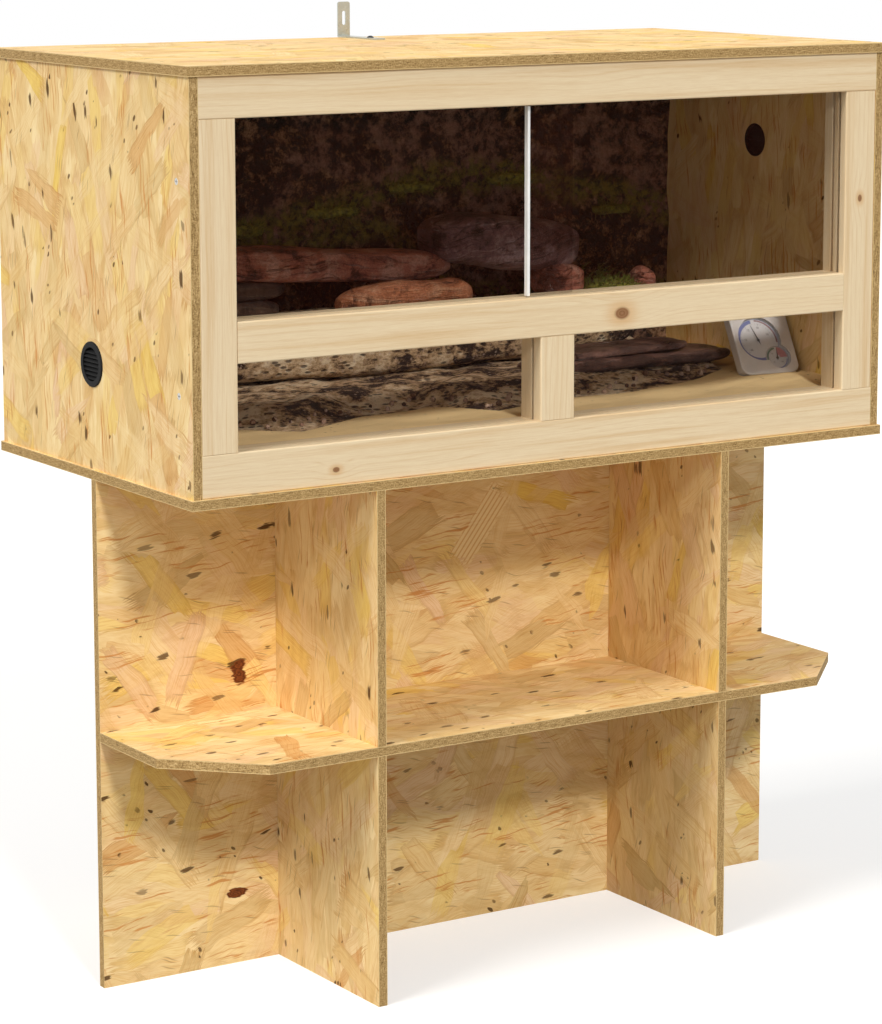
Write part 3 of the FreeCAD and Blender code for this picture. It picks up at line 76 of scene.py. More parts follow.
class BoardSettings(bpy.types.PropertyGroup):
    """Strand board."""
    strand_length: amount_of("Strand length", "Length of a wood strand", 0.105, **LENGTH)
    strand_width: amount_of("Strand width", "Width of a wood strand", 0.027, **LENGTH)
    pale: picker("Pale strands", "Lightest strands", (0.91, 0.715, 0.39))
    tan: picker("Tan strands", "Commonest strands", (0.8, 0.565, 0.25))
    amber: picker("Amber strands", "Resinous strands", (0.62, 0.27, 0.07))
    yellow: picker("Yellow strands", "Sappy strands", (0.86, 0.62, 0.14))
    rosy: picker("Rosy strands", "Pinkish strands", (0.84, 0.595, 0.37))
    bark: picker("Bark flecks", "Dark flecks", (0.075, 0.028, 0.006))


class TimberSettings(bpy.types.PropertyGroup):
    """Pine frame."""
    pale: picker("Early wood", "Wide pale rings", (0.79, 0.645, 0.43))
    late: picker("Late wood", "Narrow darker rings", (0.66, 0.455, 0.235))
    knot: picker("Knots", "Heart of a knot", (0.2, 0.075, 0.02))
    ring: amount_of("Ring width", "Distance between rings", 0.0068, **LENGTH)


class GlassSettings(bpy.types.PropertyGroup):
    """Panes."""
    tint: picker("Upper tint", "Colour of the sliding panes", (0.026, 0.006, 0.003))
    upper_cover: amount_of("Upper cover", "How much each face of a sliding pane hides", 0.14, **SHARE)
    lower_tint: picker("Lower tint", "Colour of the fixed panes", (0.06, 0.03, 0.028))
    lower_cover: amount_of("Lower cover", "How much each face of a fixed pane hides", 0.04, **SHARE)
    strip: picker("Edge channel", "White channel", (0.86, 0.86, 0.83))


class GroundSettings(bpy.types.PropertyGroup):
    """Sand, gravel, stones and moss."""
    sand: picker("Sand", "Dry sand", (0.94, 0.715, 0.37))
    # The dark layers stand partly for earth and partly for painted shade under the litter.
    soil: picker("Soil", "Dark layers", (0.032, 0.014, 0.008))
    litter: picker("Litter", "Pale dry litter", (0.68, 0.46, 0.26))
    moss: picker("Moss", "Dry moss", (0.22, 0.22, 0.035))
    fresh_moss: picker("Fresh moss", "Bright moss", (0.1, 0.22, 0.02))


class GaugeSettings(bpy.types.PropertyGroup):
    """Thermo-hygrometer."""
    body: picker("Case", "Moulded case", (0.69, 0.67, 0.67))
    plate: picker("Dial", "Dial plate", (0.8, 0.8, 0.84))
    cold: picker("Cold band", "Blue band", (0.16, 0.2, 0.55))
    warm: picker("Warm band", "Brown-red band", (0.33, 0.17, 0.2))
    damp: picker("Damp sector", "Pink sector", (0.66, 0.22, 0.26))
    dry: picker("Dry band", "Teal band", (0.12, 0.24, 0.22))
    ink: picker("Ink", "Needles, marks and numbers", (0.03, 0.03, 0.05))


class StageSettings(bpy.types.PropertyGroup):
    """Camera and light."""
    lens: amount_of("Lens", "Focal length", 119.2, unit="CAMERA")
    eye: bpy.props.FloatVectorProperty(
        name="Eye", description="Place of the camera", default=(-2.2823, -3.5647, 1.3303), subtype="XYZ")
    yaw: amount_of("Yaw", "Turn to the right", math.radians(32.981), **ANGLE)
    pitch: amount_of("Pitch", "Tilt down", math.radians(-8.916), **ANGLE)
    shift: bpy.props.FloatVectorProperty(
        name="Shift", description="Lens shift", default=(-0.0259, -0.1), size=2)


# Node trees

def sum_of(operation):
    """A method that puts a node's result, and other values with it, through one sum."""
    return lambda self, *others: self.nodes.math(operation, self, *others)


class Signal:
    """A node's result, which sums can use like a number."""
    __add__ = sum_of("ADD")
    __sub__ = sum_of("SUBTRACT")
    __mul__ = sum_of("MULTIPLY")
    __truediv__ = sum_of("DIVIDE")
    __pow__ = sum_of("POWER")
    __gt__ = sum_of("GREATER_THAN")
    __abs__ = sum_of("ABSOLUTE")
    at_least = sum_of("MAXIMUM")
    fraction = sum_of("FRACT")
    sine = sum_of("SINE")
    root = sum_of("SQRT")

    def __init__(self, nodes, socket):
        self.nodes = nodes
        self.socket = socket

    def __rsub__(self, other):
        return self.nodes.math("SUBTRACT", other, self)

    def swing(self, reach):
        """A number from 0 to 1, moved to swing about nothing."""
        return (self - 0.5) * reach

    def between(self, low, high):
        """0 at the low value and 1 at the high one, smooth between them."""
        inputs = {"Value": self, "From Min": low, "From Max": high}
        return self.nodes.add("MapRange", inputs, interpolation_type="SMOOTHSTEP")

    def fade(self, low, high):
        """1 at the low value and 0 at the high one, smooth between them."""
        return 1.0 - self.between(low, high)

    def ramp(self, *stops, smooth=False):
        """A colour or level for each stretch of a number."""
        node = self.nodes.new("ValToRGB", {0: self})
        band = node.color_ramp
        band.interpolation = "EASE" if smooth else "LINEAR"
        while len(band.elements) < len(stops):
            band.elements.new(1.0)
        for element, (position, tone) in zip(band.elements, stops):
            element.position = position
            element.color = (*tone, 1.0) if hasattr(tone, "__len__") else (tone, tone, tone, 1.0)
        return Signal(self.nodes, node.outputs[0])


class Nodes:
    """Adds nodes to one tree."""

    def __init__(self, tree):
        self.tree = tree
        tree.nodes.clear()

    def feed(self, target, value):
        """Give an input a node's result, a colour or a number."""
        if isinstance(value, Signal):
            self.tree.links.new(value.socket, target)
        elif target.type == "RGBA" and len(value) == 3:
            target.default_value = (*value, 1.0)
        else:
            target.default_value = value

    def new(self, kind, inputs=(), **settings):
        """A new node with some of its own settings, and what some of its inputs get."""
        node = self.tree.nodes.new("ShaderNode" + kind)
        for name, value in settings.items():
            setattr(node, name, value)
        for place, value in dict(inputs).items():
            self.feed(node.inputs[place], value)
        return node

    def results(self, kind, inputs=(), **settings):
        """Every result of a new node."""
        return [Signal(self, output) for output in self.new(kind, inputs, **settings).outputs]

    def add(self, kind, inputs=(), **settings):
        """The first result of a new node."""
        return self.results(kind, inputs, **settings)[0]

    def math(self, operation, *values):
        """One sum."""
        return self.add("Math", enumerate(values), operation=operation)

    def rays(self, *kinds):
        """1 for rays of any of the kinds."""
        path = self.new("LightPath")
        found, *others = (Signal(self, path.outputs[f"Is {kind} Ray"]) for kind in kinds)
        for other in others:
            found = found.at_least(other)
        return found

    def choose(self, factor, usual, other):
        """One shader, or another as far as the factor says."""
        return self.add("MixShader", enumerate((factor, usual, other)))


class Finish(Nodes):
    """A material under construction, with its colour as far as it is laid."""

    def __init__(self, name):
        self.material = bpy.data.materials.new(name)
        self.material.use_nodes = True
        super().__init__(self.material.node_tree)
        self.shader = self.new("BsdfPrincipled")
        self.shading = Signal(self, self.shader.outputs["BSDF"])
        self.output = self.new("OutputMaterial", {"Surface": self.shading})
        coordinates = self.new("TexCoord")
        self.place = Signal(self, coordinates.outputs["Object"])
        self.normal = Signal(self, coordinates.outputs["Normal"])
        self.colour = None

    def separate(self, vector, letters="XYZ"):
        """The numbers of a vector that the letters name."""
        parts = self.results("SeparateXYZ", {0: vector})
        return [parts["XYZ".index(letter)] for letter in letters]

    def combine(self, *numbers):
        """A vector from three numbers."""
        return self.add("CombineXYZ", enumerate(numbers))

    def stretch(self, vector, size, turn=0.0, shift=(0.0, 0.0)):
        """Coordinates turned in their plane, then counted in a cell's size, given flat or with a height."""
        inputs = {
            "Vector": vector, "Location": (*shift, 0.0)[:3], "Rotation": (0.0, 0.0, turn),
            "Scale": (*size, 1.0)[:3]}
        return self.add("Mapping", inputs, vector_type="TEXTURE")

    def noise(self, scale, detail=3.0, roughness=0.5, vector=None, flat=False):
        """Fractal noise from 0 to 1, over the object unless a vector is given."""
        inputs = {"Vector": vector or self.place, "Scale": scale, "Detail": detail, "Roughness": roughness}
        return self.add("TexNoise", inputs, noise_dimensions="2D" if flat else "3D")

    def grains(self, vector, size, detail=3.0, roughness=0.5, turn=0.0, shift=(0.0, 0.0)):
        """Noise drawn out to a grain's size, which is flat where it has no height."""
        return self.noise(1.0, detail, roughness, self.stretch(vector, size, turn, shift), len(size) == 2)

    def sway(self, vector, scale, reach):
        """Flat coordinates pushed about by soft noise."""
        inputs = {"Vector": vector, "Scale": scale, "Detail": 2.0}
        noise = self.results("TexNoise", inputs, noise_dimensions="2D")[1]
        centred = self.add("VectorMath", {0: noise, 1: (0.5, 0.5, 0.5)}, operation="SUBTRACT")
        return self.add("VectorMath", {0: centred, 1: (*reach, 0.0), 2: vector}, operation="MULTIPLY_ADD")

    def length(self, vector):
        """A vector's length."""
        return self.results("VectorMath", {0: vector}, operation="LENGTH")[1]

    def cells(self, vector, scale=1.0, flat=False, square=False):
        """Random cells, round or square: their distance and three numbers of their own."""
        distance, tone = self.results(
            "TexVoronoi", {"Vector": vector, "Scale": scale}, voronoi_dimensions="2D" if flat else "3D",
            distance="CHEBYCHEV" if square else "EUCLIDEAN")[:2]
        return distance, dict(zip(("red", "green", "blue"), self.results("SeparateColor", {0: tone})))

    def torn_marks(self, vector, size, turn, rarity, ragged):
        """Scattered flecks of several sizes with torn outlines."""
        distance, own = self.cells(self.stretch(vector, size, turn, (0.4, 0.1)), flat=True)
        edge = distance + ragged.swing(0.7) - own["red"] * 0.16
        return edge.fade(0.06, 0.16) * (own["blue"] > rarity) * (own["green"] * 0.4 + 0.6)

    def mix(self, factor, under, over, blend="MIX"):
        """Two colours mixed."""
        return self.results("Mix", {0: factor, 6: under, 7: over}, data_type="RGBA", blend_type=blend)[2]

    def lay(self, over, amount, blend="MIX"):
        """Lay another colour over the present one."""
        self.colour = self.mix(amount, self.colour, over, blend)

    def tint(self, over, amount):
        """Darken the present colour with another."""
        self.lay(over, amount, "MULTIPLY")

    def path_height(self, across, points):
        """The height of a wandering line at each place across."""
        low, high = points[0][0], points[-1][0]
        node = self.new("FloatCurve", {"Value": (across - low) / (high - low)})
        curve = node.mapping.curves[0]
        for number, (place, height) in enumerate(points):
            spot = ((place - low) / (high - low), height)
            if number in (0, len(points) - 1):
                curve.points[0 if number == 0 else -1].location = spot
            else:
                curve.points.new(*spot)
        node.mapping.update()
        return Signal(self, node.outputs[0])

    def bump(self, height, depth, strength=1.0):
        """Fine relief of a depth in metres."""
        relief = self.add("Bump", {"Strength": strength, "Distance": depth, "Height": height})
        self.feed(self.shader.inputs["Normal"], relief)

    def surface(self, roughness, **others):
        """Give the shader the colour and its other values."""
        others.update(base_color=self.colour, roughness=roughness)
        for name, value in others.items():
            self.feed(self.shader.inputs[name.replace("_", " ").title().replace("Ior", "IOR")], value)
        return self.material


def scaled(colour, share, lift=0.0):
    """A colour made lighter or darker."""
    return tuple(min(1.0, part * share + lift) for part in colour)


# Strand board. Each layer of strands has its turn, the share of strands that shows and the strands' width.

STRAND_LAYERS = (
    (0.05, 0.9, 1.0), (-0.3, 0.66, 0.85), (0.42, 0.5, 1.2), (-0.9, 0.34, 0.9), (1.2, 0.2, 1.1))
LINE_TINT = (0.84, 0.68, 0.48)
# Darker rim of some strands: partly their own edge, partly painted shadow where a strand lies over others.
RIM_EDGE_AND_SHADOW_TINT = (0.62, 0.42, 0.22)
SHADE_TINT = (0.8, 0.68, 0.5)
DASH_COLOUR = (0.3, 0.15, 0.05)
SKIN_COLOUR = (0.72, 0.53, 0.26)
SKIN_DEPTHS = (0.0049, 0.0054)
KNOT_RINGS = ((0.0, (0.1, 0.028, 0.008)), (0.7, (0.22, 0.06, 0.014)), (1.0, (0.06, 0.018, 0.006)))
CUT_COLOURS = (
    (0.33, (0.09, 0.045, 0.013)), (0.43, (0.27, 0.165, 0.06)), (0.52, (0.44, 0.285, 0.115)),
    (0.66, (0.68, 0.49, 0.24)))


def resinous_tan(settings):
    """The colour half way from the commonest strands to the resinous ones."""
    return tuple((one + other) / 2 for one, other in zip(settings.amber, settings.tan))


def strand_layers(look, bent, settings):
    """Lay long strands, each with its own tone and fibres and a darker rim, partly its own edge and partly
    painted shadow, and give their relief.
    """
    tones = (
        (0.0, settings.pale), (0.16, settings.tan), (0.28, settings.pale), (0.42, settings.rosy),
        (0.52, settings.pale), (0.62, scaled(settings.tan, 0.84)), (0.7, settings.pale),
        (0.8, settings.yellow), (0.88, settings.pale), (1.0, resinous_tan(settings)))
    relief = 0.5
    for number, (turn, share, width) in enumerate(STRAND_LAYERS):
        shift = (0.31 * number, 0.17 * number)
        size = (settings.strand_length, settings.strand_width * width)
        distance, own = look.cells(look.stretch(bent, size, turn, shift), flat=True, square=True)
        fibre = look.grains(bent, (0.055, 0.0015), 2.0, 0.6, turn, shift)
        lines = fibre.ramp((0.34, 0.8), (0.48, 0.22), (0.66, 0.0))
        tone = look.mix(lines, own["red"].ramp(*tones), LINE_TINT, "MULTIPLY")
        ragged = distance + fibre.swing(0.5)
        shown = (own["green"] > 1.0 - share) * ragged.fade(0.48, 0.57)
        look.lay(tone, shown * (own["blue"] * 0.5 + 0.42))
        # Painted shadow, with the strand's own darker edge, in a thin band inside the rim of some strands.
        look.tint(RIM_EDGE_AND_SHADOW_TINT, ragged.between(0.41, 0.49) * shown * (own["blue"] > 0.62) * 0.4)
        relief = shown * fibre + relief
    return relief


def ribbed_strands(look, sheet, streak, settings, places):
    """Lay single strands with ribs across the grain."""
    for along, across, half_width, half_length, turn in places:
        x, y = look.separate(look.stretch(sheet, (half_width, half_length), turn, (along, across)), "XY")
        edge = abs(x).at_least(abs(y)) + streak.swing(0.8)
        tone = look.mix((x * 20.0).sine().between(0.1, 0.9), settings.pale, resinous_tan(settings))
        look.lay(tone, (0.85 - edge.between(0.82, 1.0)).at_least(0.0))


def board_knots(look, sheet, shade, places):
    """Lay dark ringed knots with torn outlines."""
    for along, across, reach_along, reach_across in places:
        away = look.length(look.stretch(sheet, (reach_along, reach_across), 0.0, (along, across)))
        away = away + shade.swing(2.4)
        look.lay((away * 3.0).fraction().ramp(*KNOT_RINGS), away.fade(0.8, 1.0))


def strand_board(name, axes, middle, seed, settings, knots, ribbed):
    """Pressed strands on the faces, and a speckled cut with a pale skin on the edges."""
    look = Finish(name)
    along, across, thick = look.separate(look.place, axes)
    sheet = look.combine(along, across, 0.0)
    flat = look.stretch(sheet, (1.0, 1.0), 0.0, (seed * 1.37, seed * 2.11))
    bent = look.sway(flat, 17.0, (0.014, 0.012))
    ground = look.grains(bent, (0.13, 0.024), 4.0, 0.68, 0.0, (0.5, 0.3))
    look.colour = look.mix(ground.between(0.34, 0.62), settings.tan, settings.pale)
    relief = strand_layers(look, bent, settings)

    streak = look.grains(bent, (0.085, 0.0036), 2.0, 0.6, 0.1)
    patch = look.grains(flat, (0.12, 0.05), 2.0, turn=-0.15)
    look.lay(settings.amber, streak.between(0.6, 0.66) * patch.between(0.49, 0.57) * 0.85)
    shade = look.grains(bent, (0.055, 0.014), 4.0, 0.62, -0.08, (0.2, 0.9))
    look.tint(SHADE_TINT, shade.ramp((0.3, 0.4), (0.5, 0.08), (0.68, 0.0)))
    distance, dash = look.cells(look.stretch(bent, (0.05, 0.0034), -0.22, (0.9, 0.5)), flat=True)
    look.lay(DASH_COLOUR, (dash["red"] > 0.93) * distance.fade(0.1, 0.3) * 0.5)

    large = look.torn_marks(bent, (0.034, 0.013), 0.14, 0.945, streak)
    small = look.torn_marks(bent, (0.014, 0.0085), -0.7, 0.85, shade)
    gathered = look.grains(flat, (0.06, 0.045), 2.0, 0.5, 0.3, (0.7, 0.2))
    flecks = large.at_least(small * gathered.between(0.6, 0.66))
    look.lay(settings.bark, flecks * 0.92)
    ribbed_strands(look, sheet, streak, settings, ribbed)
    board_knots(look, sheet, shade, knots)

    grit = look.noise(560.0, 3.0, 0.7)
    layers = look.grains(look.combine(along, across, thick), (0.01, 0.01, 0.001), 3.0, 0.65)
    cut = look.mix(0.5, grit, layers).ramp(*CUT_COLOURS)
    cut = look.mix(abs(thick - middle).between(*SKIN_DEPTHS) * 0.8, cut, SKIN_COLOUR)
    [facing] = look.separate(look.normal, axes[2])
    look.colour = look.mix(abs(facing) > 0.6, cut, look.colour)
    look.bump(relief * 0.55 + grit * 0.18 - flecks * 0.4, 0.0006, 0.6)
    return look.surface(shade * 0.22 + 0.56 + flecks * 0.3, specular_ior_level=0.12)


# Other materials

KNOT_HALO = (0.6, 0.33, 0.12)
KNOT_STRETCH = 1.45


def planed_pine(name, axes, seed, settings, knots=()):
    """Softwood with rings, fibres and a few knots."""
    look = Finish(name)
    along, across, deep = look.separate(look.place, axes)
    grain = look.stretch(
        look.combine(along, across, deep), (1.0, 1.0), 0.0, (seed * 0.9, seed * 0.23, seed * 0.11))
    ring_place = across + deep * 0.55 + look.grains(grain, (0.5, 0.1, 0.1), 2.0) * 0.045
    measured = []
    for knot_along, knot_across, radius in knots:
        near_along = (along - knot_along) / KNOT_STRETCH
        away = (near_along ** 2.0 + (across - knot_across) ** 2.0).root()
        ring_place = ring_place + away.fade(0.0, radius * 7.0) * (radius * 1.6)
        measured.append((away, radius))
    late = (ring_place / settings.ring).fraction().ramp(
        (0.0, 0.1), (0.55, 0.0), (0.86, 0.85), (0.93, 0.3), (1.0, 0.1), smooth=True)
    late = late * look.grains(grain, (0.22, 0.008, 0.008), 2.0).between(0.25, 0.8)
    look.colour = look.mix(late * 0.66, settings.pale, settings.late)
    band = look.grains(grain, (0.55, 0.016, 0.016), 3.0, 0.6)
    look.lay(settings.late, band.between(0.46, 0.7) * 0.6)
    fibre = look.grains(grain, (0.03, 0.0007, 0.0007), 4.0, 0.7)
    look.tint((0.72, 0.55, 0.36), fibre.ramp((0.35, 0.3), (0.6, 0.0)))
    for away, radius in measured:
        look.lay(KNOT_HALO, away.fade(radius * 0.7, radius * 2.6) * 0.55)
        whorl = (away / (radius * 0.35)).fraction().ramp((0.0, 0.78), (1.0, 1.0))
        look.lay(settings.knot, away.fade(radius * 0.55, radius) * whorl)
    look.bump(late * 0.35 + fibre * 0.5, 0.0002, 0.5)
    return look.surface(fibre * 0.15 + 0.46, specular_ior_level=0.35)


def pane_glass(name, tint, cover):
    """Tinted glass with faint dust, which lets light pass without a hard shadow."""
    look = Finish(name)
    dust = look.noise(14.0, 4.0, 0.6)
    smear = look.grains(look.place, (0.3, 0.3, 0.05))
    look.colour = look.mix(dust * 0.5, tint, scaled(tint, 1.35))
    look.bump(smear, 0.0002, 0.04)
    look.surface(smear * 0.05 + 0.015, alpha=cover, specular_ior_level=0.04)
    clear = look.add("BsdfTransparent", {"Color": (0.97, 0.96, 0.95)})
    both = look.choose(look.rays("Shadow", "Diffuse"), look.shading, clear)
    look.feed(look.output.inputs["Surface"], both)
    return look.material


def clear_sheet(name):
    """Clear plastic with a faint smear."""
    look = Finish(name)
    look.colour = (0.9, 0.92, 0.94)
    smear = look.noise(60.0)
    look.bump(smear, 0.0001, 0.05)
    return look.surface(smear * 0.05 + 0.03, alpha=0.07)


def moulded_plastic(name, colour, roughness, shine=0.5):
    """Plastic with a fine moulded grain and light wear."""
    look = Finish(name)
    wear = look.noise(60.0, 5.0, 0.6)
    look.colour = look.mix(wear, scaled(colour, 0.86), scaled(colour, 1.18, 0.004))
    look.bump(look.noise(900.0, 2.0), 0.0001, 0.35)
    return look.surface(wear * 0.16 + (roughness - 0.08), specular_ior_level=shine)


def plated_steel(name, colour, roughness):
    """Zinc or painted steel with soft spangle and small scratches."""
    look = Finish(name)
    own = look.cells(look.place, 240.0)[1]
    scratch = look.grains(look.place, (0.02, 0.0006, 0.0006), 3.0, 0.7, 0.4)
    look.colour = look.mix(own["red"] * 0.5, scaled(colour, 0.78), colour)
    look.bump(scratch, 0.0001, 0.3)
    return look.surface(own["green"] * 0.12 + roughness + scratch.between(0.6, 0.75) * 0.12, metallic=1.0)


def worn_stone(name, body, light, dark, dip, vein=(0.35, 0.32, 0.32), vein_strength=0.5):
    """Slab stone with dipping layers, blotches, cracks, veins and a damp sheen."""
    look = Finish(name)
    x, y, z = look.separate(look.place)
    layered = look.combine(x, y, z + look.noise(7.0) * 0.05 + x * dip)
    beds = look.grains(layered, (0.17, 0.17, 0.0085), 6.0, 0.66)
    blotch = look.noise(22.0, 6.0, 0.7)
    look.colour = beds.ramp((0.34, dark), (0.46, body), (0.58, body), (0.7, light))
    look.lay(light, blotch.between(0.5, 0.64) * 0.75)
    look.lay(dark, blotch.between(0.5, 0.37) * 0.88)
    crack = look.grains(layered, (0.13, 0.13, 0.022), 3.0, 0.6, 0.2, (0.7, 0.1, 0.4))
    gap = abs(crack - 0.5).fade(0.002, 0.012)
    look.lay(scaled(dark, 0.35), gap * 0.5)
    mineral = look.grains(layered, (0.06, 0.06, 0.0035), 4.0, 0.7, 0.0, (0.3, 0.2, 0.1))
    look.lay(vein, mineral.between(0.62, 0.72) * vein_strength)
    fine = look.noise(330.0, 4.0, 0.7)
    look.tint((0.35, 0.28, 0.26), fine.ramp((0.36, 0.55), (0.6, 0.0)))
    look.bump(beds + fine * 0.16 - gap * 0.3 + blotch * 0.8, 0.013)
    return look.surface(blotch * 0.34 + 0.16)


# Each band of moss on the backdrop: points of its line, its width and its strength.

MOSS_BANDS = (
    (((-0.46, 0.846), (-0.2, 0.876), (-0.12, 0.898), (-0.03, 0.91), (0.06, 0.931), (0.19, 0.941),
      (0.32, 0.917), (0.47, 0.88)), 0.02, 0.95),
    (((-0.46, 0.872), (-0.12, 0.866), (0.02, 0.874), (0.08, 0.84), (0.115, 0.808), (0.16, 0.79),
      (0.3, 0.772), (0.47, 0.77)), 0.013, 0.9))
FRESH_TUFT = (0.46, 0.38, 0.075)
THIN_TUFT = (0.24, 0.23, 0.05)


def moulded_backdrop(name, settings):
    """A dark rock face, clotted with litter, with bare mauve-grey patches and moss in wandering bands."""
    look = Finish(name)
    x, z = look.separate(look.place, "XZ")
    wall = look.sway(look.combine(x, z, 0.0), 9.0, (0.03, 0.036))
    clump = look.noise(36.0, 9.0, 0.8)
    patch = look.grains(wall, (0.19, 0.12), 3.0, 0.6, -0.25, (0.13, 0.32))
    look.colour = clump.ramp(
        (0.41, (0.007, 0.0024, 0.0015)), (0.49, (0.024, 0.0085, 0.0045)), (0.525, (0.17, 0.084, 0.044)),
        (0.57, (0.46, 0.265, 0.145)), (0.65, (0.78, 0.51, 0.35)))
    bare_tone = look.mix(clump.between(0.42, 0.66), (0.22, 0.105, 0.075), (0.66, 0.4, 0.31))
    look.lay(bare_tone, patch.between(0.49, 0.57) * clump.between(0.4, 0.52) * 0.9)
    tuft = look.noise(75.0, 6.0, 0.75)
    fresh = look.mix(tuft.between(0.48, 0.64), settings.moss, FRESH_TUFT)
    across, height = look.separate(wall, "XY")
    for points, width, strength in MOSS_BANDS:
        away = abs(height - look.path_height(across, points))
        look.lay(fresh, away.fade(width * 0.25, width * 1.6) * tuft.between(0.4, 0.56) * strength)
    look.lay(THIN_TUFT, tuft.between(0.6, 0.7) * patch.between(0.52, 0.4) * 0.55)
    look.bump(clump + tuft * 0.3, 0.022)
    return look.surface(0.88)


def loose_ground(name, settings):
    """Layers of dry litter over dark earth, with painted light on their tops and painted shade in the dark
    layers beneath them.
    """
    look = Finish(name)
    x, y = look.separate(look.place, "XY")
    lifted = y * 0.75 + look.noise(9.0, 4.0, 0.6) * 0.1
    bed = look.noise(1.0, 4.0, 0.6, look.combine(x * 7.0, lifted * 27.0, 0.0))
    crumb = look.grains(look.place, (0.017, 0.012, 0.01), 7.0, 0.8)
    mixed = bed * 0.66 + crumb * 0.46
    # The darkest stops paint shade under the layers as well as dark earth, and the palest stop paints light
    # on their tops.
    look.colour = mixed.ramp(
        (0.475, settings.soil), (0.515, (0.07, 0.032, 0.017)), (0.54, (0.42, 0.265, 0.14)),
        (0.575, settings.litter), (0.63, (0.98, 0.8, 0.56)))
    distance, own = look.cells(look.place, 210.0)
    look.lay((0.66, 0.46, 0.36), (own["red"] > 0.82) * distance.between(0.5, 0.2) * 0.6)
    distance, own = look.cells(look.stretch(look.place, (0.01, 0.005, 0.004)))
    bark = (own["blue"] > 0.72) * distance.between(0.6, 0.3)
    look.lay((0.045, 0.022, 0.014), bark * 0.8)
    look.bump(mixed - bark * 0.2, 0.016)
    return look.surface(0.9)


def dry_sand(name, settings):
    """Fine pale sand with soft ripples, single grains and a few bits of bark."""
    look = Finish(name)
    ripple = look.grains(look.place, (0.085, 0.03, 0.03), turn=0.12)
    grain = look.noise(1500.0, 2.0, 0.8)
    soft = look.noise(11.0, 4.0, 0.55)
    look.colour = soft.ramp((0.3, scaled(settings.sand, 0.84)), (0.66, settings.sand))
    look.tint((0.7, 0.58, 0.46), grain.ramp((0.34, 0.45), (0.5, 0.0)))
    distance, own = look.cells(look.place, 130.0)
    look.lay((0.13, 0.07, 0.04), (own["green"] > 0.93) * distance.between(0.3, 0.12) * 0.8)
    look.bump(ripple + grain * 0.05, 0.006, 0.7)
    return look.surface(0.93)


def mixed_crumbs(name):
    """Crumbs of bark, pale chips and pinkish gravel, each with its own tone."""
    look = Finish(name)
    own = look.cells(look.place, 95.0)[1]
    fine = look.noise(420.0, 4.0, 0.7)
    look.colour = own["red"].ramp(
        (0.0, (0.07, 0.03, 0.02)), (0.34, (0.17, 0.09, 0.05)), (0.5, (0.62, 0.44, 0.33)),
        (0.75, (0.7, 0.52, 0.42)), (1.0, (0.38, 0.22, 0.15)))
    look.tint((0.4, 0.3, 0.25), fine.ramp((0.35, 0.6), (0.6, 0.0)))
    look.bump(fine, 0.0015, 0.8)
    return look.surface(0.85)


def moss_finish(name, settings, tip=(0.4, 0.38, 0.06)):
    """Moss, from dark through olive to its tip colour."""
    look = Finish(name)
    tuft = look.noise(160.0, 5.0, 0.7)
    look.colour = tuft.ramp((0.32, (0.03, 0.03, 0.008)), (0.5, settings.moss), (0.66, tip))
    look.lay((0.13, 0.09, 0.035), look.noise(24.0).between(0.5, 0.65) * 0.5)
    look.bump(tuft, 0.004, 0.9)
    return look.surface(0.85)


def printed(name, colour):
    """Printing ink on plastic, slightly uneven."""
    look = Finish(name)
    uneven = look.noise(700.0)
    look.colour = look.mix(uneven * 0.5, colour, scaled(colour, 0.8))
    look.bump(uneven, 0.00005, 0.2)
    return look.surface(0.42)


def put(material, *nodes):
    """Give nodes one material."""
    for name in nodes:
        materials = bpy.data.objects[name].data.materials
        materials.clear()
        materials.append(material)


def middle_of(node, letter):
    """The middle of a node's box along one axis."""
    low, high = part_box(node)
    index = "XYZ".index(letter)
    return (low[index] + high[index]) / 2


# Pieces

def mesh_object(name, shape, material):
    """An object in the scene, from a bmesh."""
    mesh = bpy.data.meshes.new(name)
    shape.to_mesh(mesh)
    shape.free()
    mesh.materials.append(material)
    made = bpy.data.objects.new(name, mesh)
    bpy.context.scene.collection.objects.link(made)
    return made


def new_piece(name, shape, material, body="cabinet"):
    """A piece from a bmesh, riding on a body."""
    piece = mesh_object(name, shape, material)
    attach(piece, body)


# Both dials of the gauge. Radii, widths and heights over the plate are in millimetres, and angles in degrees
# from the right, counted anticlockwise. A band has its ink, inner and outer radius, first and last angle and
# height. The marks have their number and step, and then the radii and width of every fifth and of the others.

PRINT_THICKNESS = 0.03 * MM
NUMBER_THICKNESS = 0.02 * MM
FIRST_MARK = 225
ARC_STEP = 5
DIALS = (
    {"joint": "temperature_needle_turn", "behind_needle": 2.4,
     "bands": (("cold", 24.8, 29.6, 98, 302, 0.02), ("warm", 27.0, 29.4, -8, 86, 0.02),
               ("cold", 30.2, 30.7, 0, 360, 0.02)),
     "marks": (28, 10, (22.0, 24.4, 0.5), (23.0, 24.4, 0.3)), "marks_over": 0.02,
     "numbers": (-30, -10, 10, 30, 50), "number_step": 50, "number_radius": 18.4, "number_size": 4.6,
     "numbers_over": 0.03},
    {"joint": "humidity_needle_turn", "behind_needle": 1.2,
     "bands": (("plate", 0.9, 16.9, 0, 360, 0.06), ("dry", 12.4, 15.2, 96, 196, 0.1),
               ("damp", 4.5, 15.2, 4, 84, 0.1), ("cold", 13.6, 15.0, 200, 352, 0.1),
               ("ink", 16.0, 16.5, 0, 360, 0.1)),
     "marks": (19, 15, (11.2, 12.2, 0.3), (11.2, 12.2, 0.3)), "marks_over": 0.1,
     "numbers": (10, 40, 70, 100), "number_step": 90, "number_radius": 8.6, "number_size": 2.7,
     "numbers_over": 0.14})
DIAL_PIECES = {
    "ink": "dial_ink", "cold": "dial_blue_bands", "warm": "dial_warm_band", "dry": "dial_teal_band",
    "damp": "dial_pink_sector", "plate": "small_dial_disc"}


